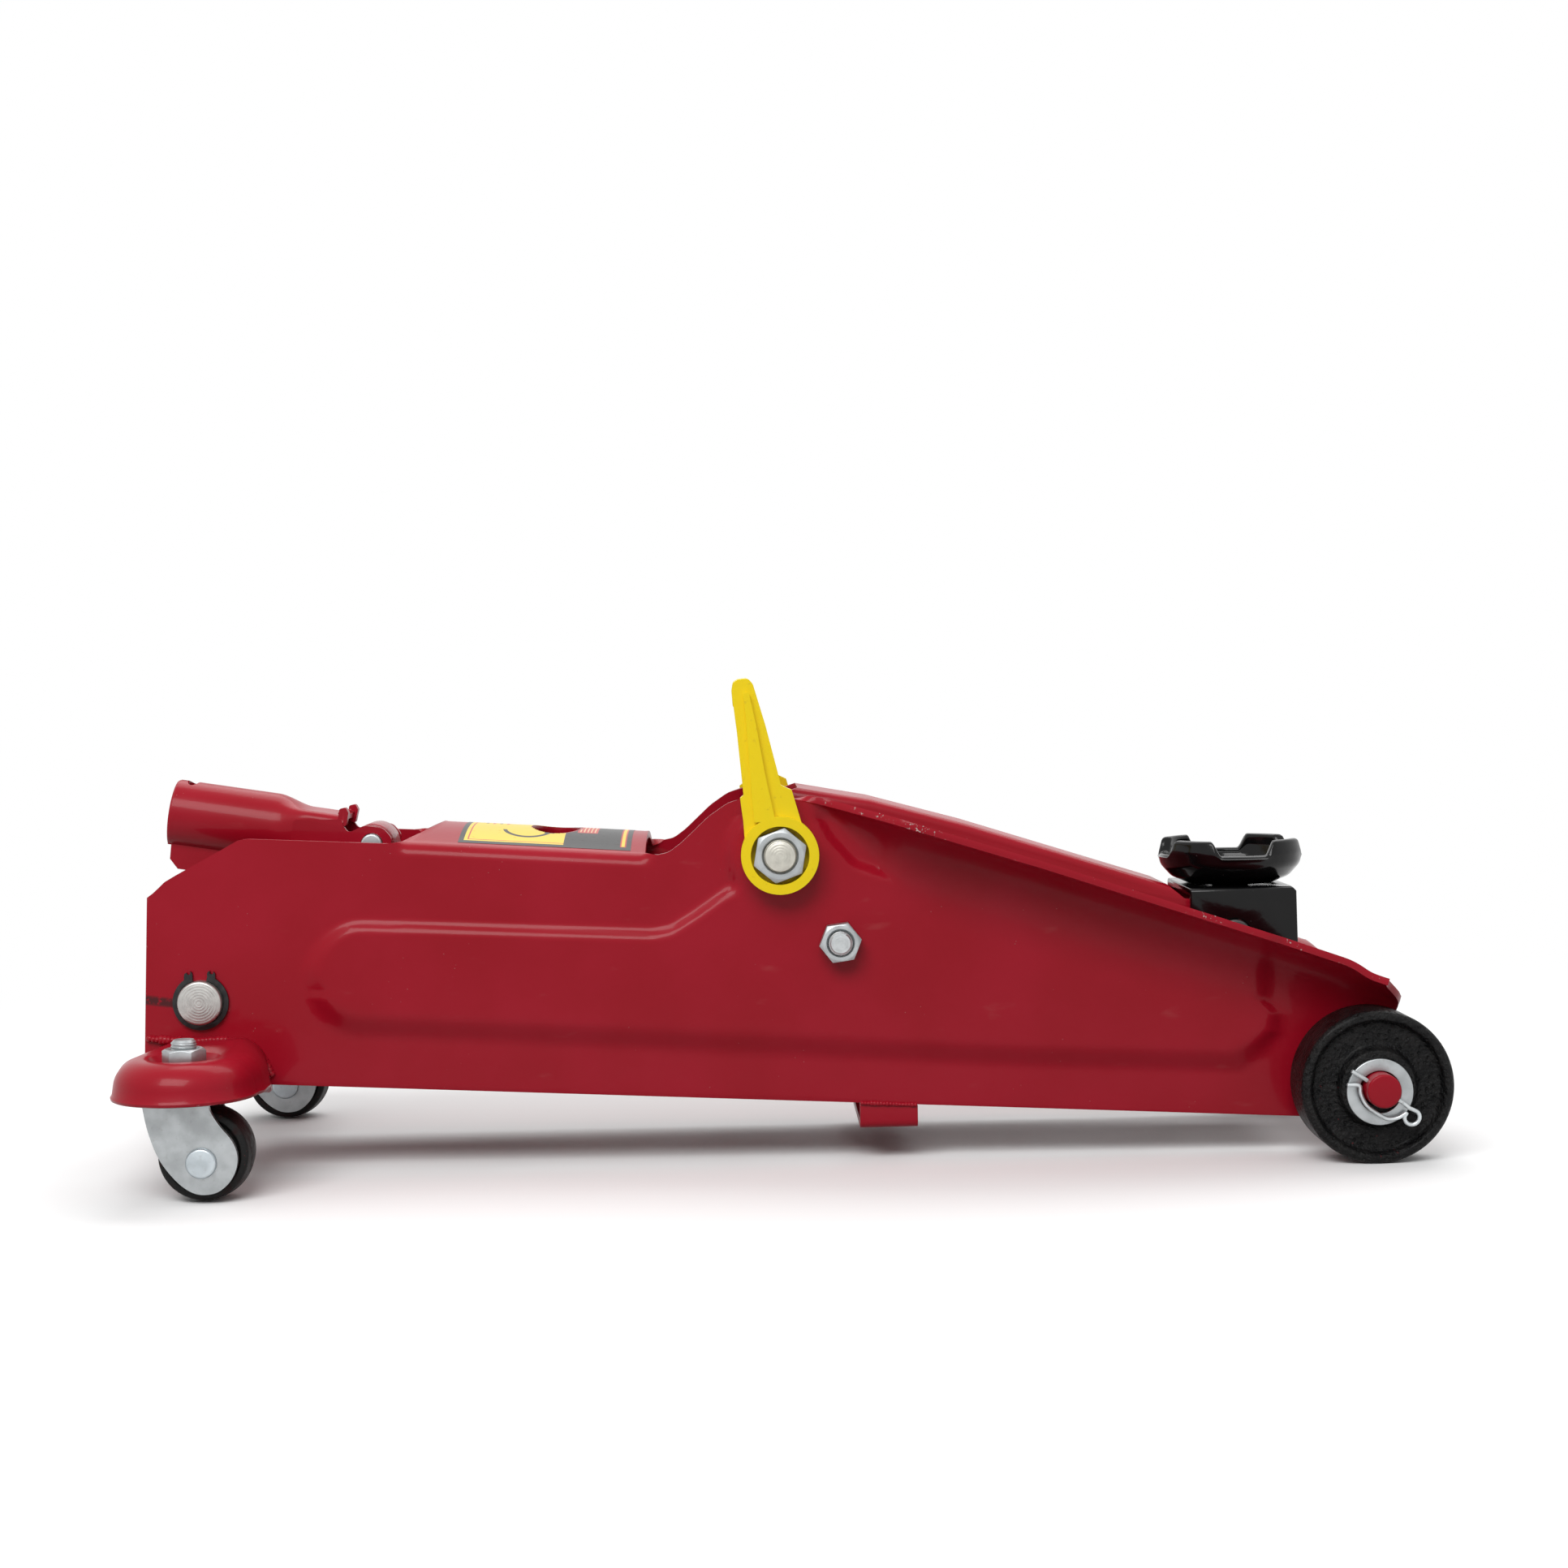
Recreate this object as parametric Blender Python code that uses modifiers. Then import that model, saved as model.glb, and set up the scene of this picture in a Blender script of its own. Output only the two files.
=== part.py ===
"""Hydraulic trolley jack: a pressed steel frame, a lift arm kept level by link bars, a ram and hand pump."""

import math

import bmesh
import bpy
from mathutils import Matrix, Vector

MM = 0.001

# Frame, in millimetres. +X is the saddle end, the sides are at -Y and +Y, and the floor is Z = 0.
FRAME_HALF_WIDTH = 52.6
SHEET = 3.0
PANEL_RISE = 3.4
FLANGE_REACH = 28.4
FRAME_REAR = -277.6
FRAME_FRONT = 266.0
BRIDGE_REAR, BRIDGE_FRONT = -163.0, -58.5
BRIDGE_REAR_HEIGHT, BRIDGE_FRONT_HEIGHT = 143.9, 136.8
BRIDGE_BOW = 11.5
BRIDGE_CROWN = 6.0
HOLE_LENGTH, HOLE_WIDTH = 22.0, 44.0
HOLE_CENTRE_X = -101.6

# Pivots, as X and Z.
HUB = (-1.4, 135.6)
LINK_ANCHOR = (24.0, 97.1)
ARM_PIN = (201.0, 93.5)
REAR_PIN = (-253.8, 76.4)
SOCKET_PIVOT = (-183.0, 141.3)
SADDLE_X = 204.8

REAR_PIN_RADIUS = 9.6

# Clearances.
GAP = 0.3
RUN = 0.4

# Front wheels and axle.
WHEEL_RADIUS = 32.8
WHEEL_WIDTH = 26.7
WHEEL_OUTER_Y = FRAME_HALF_WIDTH + 35.5
AXLE_X = 250.8
AXLE_RADIUS = 7.25

# Casters.
CASTER_Y = FRAME_HALF_WIDTH + 49.0
SWIVEL_X = -251.5
CASTER_TRAIL = 8.5
CASTER_RADIUS = 19.8
CASTER_WIDTH = 20.0
RIVET_DROP = 2.4
RIVET_RADIUS = 4.0
FORK_SHEET = 2.5
DISH_RADIUS = 32.1
DISH_LIP, DISH_TOP = 43.0, 59.5
STUD_RADIUS = 5.0

# Lift arm, saddle and links.
ARM_HALF_WIDTH = 27.5
ARM_WALL = 4.0
BRACKET_HALF_WIDTH = 31.6
BRACKET_WALL = 3.5
BRACKET_TOP = 114.6
SADDLE_RIM = 135.0
SADDLE_RADIUS = 32.6
LINK_THICKNESS = 5.0
LINK_WIDTH = 18.0
BOLT_RADIUS = 5.0
HUB_RADIUS = 6.8
LEVER_LENGTH = 50.0
LEVER_ANGLE = 35.0

# Hydraulic unit.
RAM_HEIGHT = 89.5
RAM_RADIUS = 12.0
RAM_PIN_RADIUS = 7.0
RAM_HEAD_GAP = 1.1
TUBE_RADIUS = 26.0
TUBE_REAR, TUBE_FRONT = -150.0, -72.0
BLOCK_HALF_WIDTH = 30.0
BLOCK_TOP = 112.0
VALVE_SEAT_X, VALVE_HEIGHT, VALVE_DEPTH = -236.0, 101.0, 8.0
VALVE_RADIUS = 5.0
OVERLOAD_PLUG = (-200.0, 84.0)
PLUNGER_X = -207.0
PLUNGER_RADIUS = 6.0
ROLLER_RADIUS = 5.0

# Handle socket: its bore axis climbs towards the rear.
SOCKET_TILT = 9.3
SOCKET_RADIUS = 15.5
SOCKET_WALL = 2.2
SOCKET_END = 92.0
SOCKET_NECK = 40.0
SOCKET_HALF_WIDTH = 18.0

# Carry handle.
GRIP_LEG = 10.0
GRIP_RING = 16.8
GRIP_POCKET = 12.4


def clear_scene():
    for old in list(bpy.data.objects):
        bpy.data.objects.remove(old)


def new_collection(name):
    collection = bpy.data.collections.new(name)
    bpy.context.scene.collection.children.link(collection)
    return collection


clear_scene()
JACK = new_collection("trolley_jack")
CUTTERS = new_collection("cutters")
MATERIALS = {}


def material(name, colour, roughness, metallic):
    made = bpy.data.materials.new(name)
    made.use_nodes = True
    shader = made.node_tree.nodes["Principled BSDF"]
    shader.inputs["Base Color"].default_value = (*colour, 1)
    shader.inputs["Roughness"].default_value = roughness
    shader.inputs["Metallic"].default_value = metallic
    MATERIALS[name] = made


material("red_paint", (0.31, 0.012, 0.022), 0.35, 0.0)
material("black_gloss", (0.008, 0.008, 0.009), 0.25, 0.0)
material("cast_iron", (0.012, 0.012, 0.012), 0.6, 0.2)
material("zinc", (0.55, 0.6, 0.63), 0.35, 1.0)
material("dark_steel", (0.05, 0.05, 0.055), 0.45, 1.0)
material("yellow_plastic", (0.75, 0.6, 0.01), 0.4, 0.0)
material("rubber_black", (0.01, 0.01, 0.011), 0.7, 0.0)
material("chrome", (0.75, 0.75, 0.76), 0.12, 1.0)


def add_object(name, mesh, finish):
    """A new visible piece, or a hidden cutter where no finish is given."""
    obj = bpy.data.objects.new(name, mesh)
    if finish is None:
        CUTTERS.objects.link(obj)
        obj.hide_render = True
        obj.display_type = "WIRE"
        return obj
    JACK.objects.link(obj)
    obj.data.materials.append(MATERIALS[finish])
    return obj


def mesh_from(name, build):
    mesh = bpy.data.meshes.new(name)
    work = bmesh.new()
    build(work)
    bmesh.ops.recalc_face_normals(work, faces=work.faces)
    work.to_mesh(mesh)
    work.free()
    return mesh


def prism(name, outline, low, high, finish=None, axis="Y"):
    """A flat outline given thickness: an XZ outline along Y, or an XY outline along Z."""
    curve = bpy.data.curves.new(name, "CURVE")
    curve.dimensions = "2D"
    curve.fill_mode = "BOTH"
    curve.extrude = (high - low) / 2 * MM
    line = curve.splines.new("POLY")
    line.points.add(len(outline) - 1)
    for point, (u, v) in zip(line.points, outline):
        point.co = (u * MM, v * MM, 0, 1)
    line.use_cyclic_u = True
    guide = bpy.data.objects.new(name + "_outline", curve)
    bpy.context.scene.collection.objects.link(guide)
    graph = bpy.context.evaluated_depsgraph_get()
    mesh = bpy.data.meshes.new_from_object(guide.evaluated_get(graph))
    bpy.data.objects.remove(guide)
    mesh.name = name
    middle = (low + high) / 2 * MM
    if axis == "Y":
        place = Matrix.Translation((0, middle, 0)) @ Matrix.Rotation(math.radians(90), 4, "X")
    else:
        place = Matrix.Translation((0, 0, middle))
    work = bmesh.new()
    work.from_mesh(mesh)
    bmesh.ops.transform(work, matrix=place, verts=work.verts)
    bmesh.ops.remove_doubles(work, verts=work.verts, dist=1e-6)
    bmesh.ops.recalc_face_normals(work, faces=work.faces)
    work.to_mesh(mesh)
    work.free()
    mesh.materials.clear()
    return add_object(name, mesh, finish)


def rod(name, centre, radius, low, high, finish=None, axis="Y", sides=16, turn=0.0):
    """A round or many-sided bar. centre is the two coordinates across its axis, in X, Y, Z order."""
    if axis == "Y":
        middle = Vector((centre[0], (low + high) / 2, centre[1]))
        spin = Matrix.Rotation(math.radians(90), 4, "X")
    elif axis == "X":
        middle = Vector(((low + high) / 2, centre[0], centre[1]))
        spin = Matrix.Rotation(math.radians(90), 4, "Y")
    else:
        middle = Vector((centre[0], centre[1], (low + high) / 2))
        spin = Matrix.Identity(4)

    def build(work):
        place = Matrix.Translation(middle * MM) @ spin @ Matrix.Rotation(math.radians(turn), 4, "Z")
        bmesh.ops.create_cone(work, cap_ends=True, segments=sides, radius1=radius * MM,
                              radius2=radius * MM, depth=(high - low) * MM, matrix=place)

    return add_object(name, mesh_from(name, build), finish)


def turned(name, profile, origin, finish, axis="Z", sides=32):
    """A profile of (radius, height) turned about an axis: outer side top to bottom, then up the bore."""
    mesh = bpy.data.meshes.new(name)
    points = [(radius * MM, 0, height * MM) for radius, height in profile]
    closed = min(radius for radius, height in profile) > 0
    edges = [(i, i + 1) for i in range(len(points) - 1)]
    if closed:
        edges.append((len(points) - 1, 0))
    mesh.from_pydata(points, edges, [])
    obj = add_object(name, mesh, finish)
    screw = obj.modifiers.new("turn", "SCREW")
    screw.steps = screw.render_steps = sides
    screw.use_merge_vertices = True
    screw.merge_threshold = 0.00001
    turns = {"Z": (0, 0, 0), "-Y": (math.radians(90), 0, 0), "+Y": (math.radians(-90), 0, 0),
             "X": (0, math.radians(90), 0)}
    obj.rotation_euler = turns[axis]
    obj.location = Vector(origin) * MM
    return obj


def combine(obj, other, operation="DIFFERENCE"):
    step = obj.modifiers.new(other.name, "BOOLEAN")
    step.operation = operation
    step.object = other


def arc(centre, radius, start, end, count):
    """Points on an arc, from one angle to another in degrees."""
    steps = [math.radians(start + (end - start) * i / (count - 1)) for i in range(count)]
    return [(centre[0] + radius * math.cos(a), centre[1] + radius * math.sin(a)) for a in steps]


def shift(point, dx, dz):
    return (point[0] + dx, point[1] + dz)


def between(pairs, x):
    """Straight interpolation through (x, value) pairs."""
    for (x0, v0), (x1, v1) in zip(pairs, pairs[1:]):
        if x <= x1:
            return v0 + (v1 - v0) * (x - x0) / (x1 - x0)
    return pairs[-1][1]


SIDES = (("right", -1), ("left", 1))


def side_span(sign, low, high):
    """The span from low to high on one side, ordered along Y."""
    return (-high, -low) if sign < 0 else (low, high)


# ---- Frame -------------------------------------------------------------------------------------

WHEEL_TOP = 2 * WHEEL_RADIUS
FLANGE_EDGE = ((11.0, 161.4), (48.0, 151.6), (163.0, 113.8), (226.0, WHEEL_TOP + 26.6), (258.0, WHEEL_TOP + 15.0))
FLANGE_GROWTH = ((11.0, 5.0), (60.0, FLANGE_REACH), (258.0, FLANGE_REACH))
FLANGE_STATIONS = (11.0, 24.0, 40.0, 60.0, 110.0, 163.0, 226.0, 258.0)


FOOT_LINE = ((-277.6, 43.2), (224.0, 15.4))


def foot_height(x):
    """The straight lower edge of the side plates, which runs on past its two points."""
    (x0, z0), (x1, z1) = FOOT_LINE
    return z0 + (z1 - z0) * (x - x0) / (x1 - x0)


def flange_root(x):
    return between(FLANGE_EDGE, x) - SHEET - between(FLANGE_GROWTH, x)


def plate_outline():
    rear = [(FRAME_REAR, foot_height(FRAME_REAR)), (FRAME_REAR + 3.5, 124.1), (-269.8, 129.0), (-264.4, 132.0), (-236.7, 146.6),
            (-168.7, 143.0), (BRIDGE_REAR, BRIDGE_REAR_HEIGHT - 4), (BRIDGE_FRONT, BRIDGE_FRONT_HEIGHT - 4)]
    hump = [(-54.0, 136.0), (-48.5, 137.2), (-29.1, 154.5), (-18.0, 159.9), (-8.0, 160.8), (6.0, 158.7)]
    slope = [(x, flange_root(x) + 0.5) for x in FLANGE_STATIONS]
    front = [(FRAME_FRONT, 50.0), (FRAME_FRONT, 20.0), (261.0, 13.5), FOOT_LINE[1]]
    return rear + hump + slope + front


def flange_section(x, sign):
    edge, reach = between(FLANGE_EDGE, x), between(FLANGE_GROWTH, x)
    centre = (FRAME_HALF_WIDTH + reach, edge - SHEET - reach)
    outer = arc(centre, reach, 180, 90, 6)
    inner = arc(centre, reach + SHEET, 90, 180, 6)
    ring = [(y, z) for y, z in outer + inner]
    return [Vector((x, sign * y, z)) * MM for y, z in ring]


def loft(name, rings, finish=None):
    """A closed solid through rings of equal point counts, capped at both ends."""

    def build(work):
        rows = [[work.verts.new(point) for point in ring] for ring in rings]
        count = len(rows[0])
        for row, other in zip(rows, rows[1:]):
            for i in range(count):
                j = (i + 1) % count
                work.faces.new((row[i], row[j], other[j], other[i]))
        work.faces.new(rows[0])
        work.faces.new(list(reversed(rows[-1])))

    return add_object(name, mesh_from(name, build), finish)


def bridge_section(x):
    edge = between(((BRIDGE_REAR, BRIDGE_REAR_HEIGHT), (BRIDGE_FRONT, BRIDGE_FRONT_HEIGHT)), x)
    corner = FRAME_HALF_WIDTH - 6.0
    top = [(-FRAME_HALF_WIDTH, edge - 7.0), (-FRAME_HALF_WIDTH + 1.5, edge - 2.5)]
    count = 9
    for i in range(count):
        y = corner * (2 * i / (count - 1) - 1)
        top.append((y, edge + BRIDGE_CROWN * (1 - (y / corner) ** 2)))
    top += [(FRAME_HALF_WIDTH - 1.5, edge - 2.5), (FRAME_HALF_WIDTH, edge - 7.0)]
    inside = (FRAME_HALF_WIDTH - SHEET) / FRAME_HALF_WIDTH
    under = [(y * inside, z - SHEET) for y, z in reversed(top)]
    return [Vector((x, y, z)) * MM for y, z in top + under]


def panel_outline(inset=0.0):
    """The raised panel pressed into each side, with its round boss at the hub."""
    left = arc((-184.0, 84.7), 25.2 - inset, 265, 95, 9)
    shoulder = [(-58.7, 102.4 - inset), (-41.0 + inset / 2, 109.1 - inset), (-22.5 + inset, 121.0)]
    boss = arc(HUB, 23.2 - inset, 215, 10, 10)
    slope = [(60.0, 124.5 - inset), (190.0, 77.5 - inset), (200.0 - inset, 71.0), (205.6 - inset, 50.0)]
    lower = [(201.0 - inset, 38.0 + inset)]
    return left + shoulder + boss + slope + lower


def oval(centre, half_x, half_y, count=16):
    turns = [2 * math.pi * i / count for i in range(count)]
    return [(centre + half_x * math.cos(a), half_y * math.sin(a)) for a in turns]


def make_frame():
    outline = plate_outline()
    inner = FRAME_HALF_WIDTH - SHEET
    frame = prism("frame", outline, *side_span(-1, inner, FRAME_HALF_WIDTH), "red_paint")
    other = prism("frame_far_plate", outline, *side_span(1, inner, FRAME_HALF_WIDTH))
    bridge_stations = (BRIDGE_REAR, (BRIDGE_REAR + BRIDGE_FRONT) / 2, BRIDGE_FRONT)
    bridge = loft("frame_bridge", [bridge_section(x) for x in bridge_stations])
    combine(frame, bridge, "UNION")
    combine(frame, other, "UNION")
    for side, sign in SIDES:
        flange = loft("frame_flange_" + side, [flange_section(x, sign) for x in FLANGE_STATIONS])
        combine(frame, flange, "UNION")
        raised = FRAME_HALF_WIDTH + PANEL_RISE
        panel = prism("frame_panel_" + side, panel_outline(), *side_span(sign, inner + 1, raised))
        combine(frame, panel, "UNION")
        pocket = prism("frame_pocket_" + side, panel_outline(SHEET),
                       *side_span(sign, inner - 2, raised - SHEET))
        combine(frame, pocket)
        foot = WHEEL_TOP + 1.5
        lip = prism("frame_lip_" + side, [(257.0, foot + 9.4), (262.0, foot + 8.4), (FRAME_FRONT, foot + 3.9),
                                          (FRAME_FRONT, foot), (262.5, foot), (262.5, foot + 2.9)],
                    *side_span(sign, inner + 1, FRAME_HALF_WIDTH + 21.4))
        combine(frame, lip, "UNION")
    reach = FRAME_HALF_WIDTH + 40
    holes = (("hub", HUB, HUB_RADIUS), ("anchor", LINK_ANCHOR, BOLT_RADIUS),
             ("rear_pin", REAR_PIN, REAR_PIN_RADIUS), ("axle", (AXLE_X, WHEEL_RADIUS), AXLE_RADIUS))
    for name, centre, radius in holes:
        combine(frame, rod("frame_hole_" + name, centre, radius + GAP, -reach, reach))
    slot = prism("frame_slot", oval(HOLE_CENTRE_X, HOLE_LENGTH / 2, HOLE_WIDTH / 2), 120, 160, axis="Z")
    combine(frame, slot)
    half = inner - 0.6
    bow = (half ** 2 + BRIDGE_BOW ** 2) / (2 * BRIDGE_BOW)
    swing = math.degrees(math.asin(half / bow))
    hollow = arc((BRIDGE_REAR + BRIDGE_BOW - bow, 0), bow, -swing, swing, 9)
    hollow += [(BRIDGE_REAR - 5, half), (BRIDGE_REAR - 5, -half)]
    combine(frame, prism("frame_bridge_bow", hollow, 120, 160, axis="Z"))


def strap_section(x):
    half, low, high, wall = FRAME_HALF_WIDTH, 14.3, foot_height(x) - GAP, 2.6
    section = [(-half, high), (-half, low), (half, low), (half, high), (half - wall, high),
               (half - wall, low + wall), (-half + wall, low + wall), (-half + wall, high)]
    return [Vector((x, y, z)) * MM for y, z in section]


def make_strap():
    """A flat strap bent up at both ends and welded under the side plates."""
    loft("cross_strap", [strap_section(31.5), strap_section(56.8)], "red_paint")


# ---- Front axle and wheels -----------------------------------------------------------------------

AXLE_END = WHEEL_OUTER_Y + 7.5
CLIP_Y = WHEEL_OUTER_Y + 4.3
CLIP_WIRE = 0.9
CLIP_ANGLE = -33.0
WASHER_THICKNESS = 1.6
WASHER_RADIUS, WASHER_HOLE = 14.2, 9.0


def make_axle():
    axle = rod("front_axle", (AXLE_X, WHEEL_RADIUS), AXLE_RADIUS, -AXLE_END, AXLE_END, "red_paint")
    along = Matrix.Rotation(math.radians(-CLIP_ANGLE), 4, "Y") @ Matrix.Rotation(math.radians(90), 4, "Y")
    for side, sign in SIDES:
        drill = rod("axle_drill_" + side, (0, 0), CLIP_WIRE + RUN, -15, 15, axis="Z", sides=10)
        drill.matrix_world = Matrix.Translation(Vector((AXLE_X, sign * CLIP_Y, WHEEL_RADIUS)) * MM) @ along
        combine(axle, drill)


def clip_path():
    """One straight leg along the cross hole, a ring, and a leg bent round the end of the axle."""
    ring_centre, ring_radius = 17.5, 3.2
    straight = [(-15.0, 0.0), (0.0, 0.0), (11.0, 0.0), (14.2, -0.4)]
    ring = arc((ring_centre, -3.2), ring_radius, 105, -215, 12)
    back = [(12.4, -6.4), (8.8, -9.2), (4.0, -9.6), (-2.0, -8.9), (-6.5, -6.2), (-9.0, -3.6), (-13.5, -6.0)]
    return straight + ring[:-1] + back


def make_clip(side, sign):
    curve = bpy.data.curves.new("r_clip_" + side, "CURVE")
    curve.dimensions = "3D"
    curve.bevel_depth = CLIP_WIRE * MM
    curve.bevel_resolution = 0
    curve.use_fill_caps = True
    line = curve.splines.new("POLY")
    path = clip_path()
    line.points.add(len(path) - 1)
    for i, (u, v) in enumerate(path):
        drift = 2.2 if 5 <= i <= 14 else 0.0
        lift = drift * math.sin(math.pi * (i - 4) / 12) if drift else 0.0
        line.points[i].co = (u * MM, -lift * sign * 0.5 * MM, v * MM, 1)
    obj = bpy.data.objects.new("r_clip_" + side, curve)
    JACK.objects.link(obj)
    obj.data.materials.append(MATERIALS["zinc"])
    obj.location = Vector((AXLE_X, sign * CLIP_Y, WHEEL_RADIUS)) * MM
    obj.rotation_euler = (0, math.radians(-CLIP_ANGLE), 0)


def make_wheels():
    outer, inner = WHEEL_OUTER_Y, WHEEL_OUTER_Y - WHEEL_WIDTH
    bore = AXLE_RADIUS + RUN
    lip, hub = WHEEL_RADIUS - 5.3, 16.4
    for side, sign in SIDES:
        axis = "-Y" if sign < 0 else "+Y"
        profile = [(bore, outer), (hub - 1.5, outer), (hub, outer - 1.5), (hub, outer - 5), (lip, outer - 5),
                   (lip, outer - 1), (lip + 1, outer), (WHEEL_RADIUS - 2, outer),
                   (WHEEL_RADIUS, outer - 2.5), (WHEEL_RADIUS, inner + 2.5), (WHEEL_RADIUS - 2, inner),
                   (bore, inner)]
        turned("front_wheel_" + side, profile, (AXLE_X, 0, WHEEL_RADIUS), "cast_iron", axis, 32)
        start = outer + GAP
        washer = [(WASHER_HOLE, start + WASHER_THICKNESS), (WASHER_RADIUS, start + WASHER_THICKNESS),
                  (WASHER_RADIUS, start), (WASHER_HOLE, start)]
        drop = WASHER_HOLE - AXLE_RADIUS - GAP
        turned("axle_washer_" + side, washer, (AXLE_X, 0, WHEEL_RADIUS - drop), "zinc", axis, 20)
        near, far = FRAME_HALF_WIDTH + GAP, inner - GAP
        spacer = [(AXLE_RADIUS + GAP, far), (12.0, far), (12.0, near), (AXLE_RADIUS + GAP, near)]
        turned("axle_spacer_" + side, spacer, (AXLE_X, 0, WHEEL_RADIUS), "dark_steel", axis, 16)
        make_clip(side, sign)


# ---- Casters -------------------------------------------------------------------------------------

FORK_TOP = 43.6
RACE_TOP = DISH_TOP - 2 * SHEET - GAP
AXLE_OF_CASTER = (SWIVEL_X + CASTER_TRAIL, CASTER_RADIUS)
RIVET = (AXLE_OF_CASTER[0], CASTER_RADIUS - RIVET_DROP)


def dish_outline(inset=0.0):
    rim = arc((SWIVEL_X, CASTER_Y), DISH_RADIUS - inset, 0, 180, 17)
    rear = [(-277.0 + inset, FRAME_HALF_WIDTH + GAP)]
    front = [(-224.0 - inset, FRAME_HALF_WIDTH + GAP), (-219.6 - inset, FRAME_HALF_WIDTH + 21.4)]
    return rim + rear + front


def make_caster_bracket(side, sign):
    """A pressed dish with a rolled skirt, welded to the side plate, with a recess for the swivel nut."""
    place = [(x, sign * y) for x, y in dish_outline()]
    room = [(x, sign * y) for x, y in dish_outline(SHEET)]
    bracket = prism("caster_bracket_" + side, place, DISH_LIP, DISH_TOP, "red_paint", axis="Z")
    combine(bracket, prism("bracket_room_" + side, room, DISH_LIP - 1, DISH_TOP - SHEET, axis="Z"))
    centre = (SWIVEL_X, sign * CASTER_Y)
    seat = rod("bracket_seat_" + side, centre, 17.5, DISH_TOP - 2 * SHEET, DISH_TOP - SHEET + 1, axis="Z")
    combine(bracket, seat, "UNION")
    combine(bracket, rod("bracket_recess_" + side, centre, 14.5, DISH_TOP - SHEET, DISH_TOP + 3, axis="Z"))
    combine(bracket, rod("bracket_hole_" + side, centre, STUD_RADIUS + GAP, 40, 70, axis="Z"))


def fork_outline():
    top = [(SWIVEL_X - 15.0, FORK_TOP), (SWIVEL_X - 14.6, 34.0), (SWIVEL_X - 11.5, 22.0)]
    foot = arc(RIVET, 13.6, 205, 390, 12)
    front = [(RIVET[0] + 9.0, 28.5), (SWIVEL_X + 13.5, 36.5), (SWIVEL_X + 12.5, FORK_TOP)]
    return top + foot + front


def make_caster(side, sign):
    centre = sign * CASTER_Y
    half = CASTER_WIDTH / 2 + 1.0
    fork = prism("caster_fork_" + side, fork_outline(), centre - half - FORK_SHEET, centre - half, "zinc")
    other = prism("fork_far_" + side, fork_outline(), centre + half, centre + half + FORK_SHEET)
    combine(fork, other, "UNION")
    crown = [(SWIVEL_X - 15.0, FORK_TOP - 2.6), (SWIVEL_X - 15.0, FORK_TOP), (SWIVEL_X + 12.5, FORK_TOP),
             (SWIVEL_X + 12.5, FORK_TOP - 2.6)]
    combine(fork, prism("fork_crown_" + side, crown, centre - half - 0.5, centre + half + 0.5), "UNION")
    race = rod("fork_race_" + side, (SWIVEL_X, centre), 12.0, FORK_TOP - 1, RACE_TOP, axis="Z")
    combine(fork, race, "UNION")
    stud = rod("fork_stud_" + side, (SWIVEL_X, centre), STUD_RADIUS, FORK_TOP, 67.0, axis="Z")
    combine(fork, stud, "UNION")
    span = half + FORK_SHEET
    combine(fork, rod("fork_bore_" + side, RIVET, RIVET_RADIUS + GAP, centre - span - 5, centre + span + 5))
    nut = rod("caster_nut_" + side, (SWIVEL_X, centre), 16 / math.sqrt(3), DISH_TOP - SHEET + GAP,
              DISH_TOP - SHEET + GAP + 6.5, "zinc", axis="Z", sides=6, turn=0)
    combine(nut, rod("caster_nut_bore_" + side, (SWIVEL_X, centre), STUD_RADIUS + GAP, 50, 75, axis="Z"))
    head, shank = span + 2.0, span + GAP
    rivet = [(0, head), (6.5, head), (6.5, shank), (RIVET_RADIUS, shank), (RIVET_RADIUS, -shank),
             (6.5, -shank), (6.5, -head), (0, -head)]
    turned("caster_rivet_" + side, rivet, (RIVET[0], centre, RIVET[1]), "zinc", "-Y", 16)
    edge, bore = CASTER_WIDTH / 2, RIVET_RADIUS + RIVET_DROP + RUN
    rim = CASTER_RADIUS
    wheel = [(bore, edge), (rim - 5.5, edge), (rim - 4.5, edge - 1.0), (rim - 2.5, edge),
             (rim, edge - 3), (rim, -edge + 3), (rim - 2.5, -edge), (bore, -edge)]
    turned("caster_wheel_" + side, wheel, (AXLE_OF_CASTER[0], centre, AXLE_OF_CASTER[1]), "rubber_black",
           "-Y", 28)


# ---- Lift arm, links and saddle -------------------------------------------------------------------

LINK_PIN = shift(ARM_PIN, LINK_ANCHOR[0] - HUB[0], LINK_ANCHOR[1] - HUB[1])
LINK_PIN_RADIUS = 5.5
ARM_PIN_RADIUS = 7.0
ARM_TOP = ((7.5, 163.0), (40.0, 157.0), (83.0, 145.0), (130.0, 129.8), (172.0, 116.2))
RAM_PIN = shift(HUB, -LEVER_LENGTH * math.sin(math.radians(LEVER_ANGLE)),
                -LEVER_LENGTH * math.cos(math.radians(LEVER_ANGLE)))
LINK_INNER = BRACKET_HALF_WIDTH + 1.9
LINK_OUTER = LINK_INNER + LINK_THICKNESS


def arm_outline():
    front = arc(ARM_PIN, 14.5, 70, -100, 9)
    under = [(130.0, 98.0), (83.0, 112.0), (40.0, 117.0), (12.0, 108.0)]
    lobe = arc(RAM_PIN, 13.0, -50, -190, 8)
    hub = arc(HUB, 24.0, 205, 90, 8)
    return list(ARM_TOP) + [(179.5, 109.8)] + front + under + lobe + hub


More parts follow.
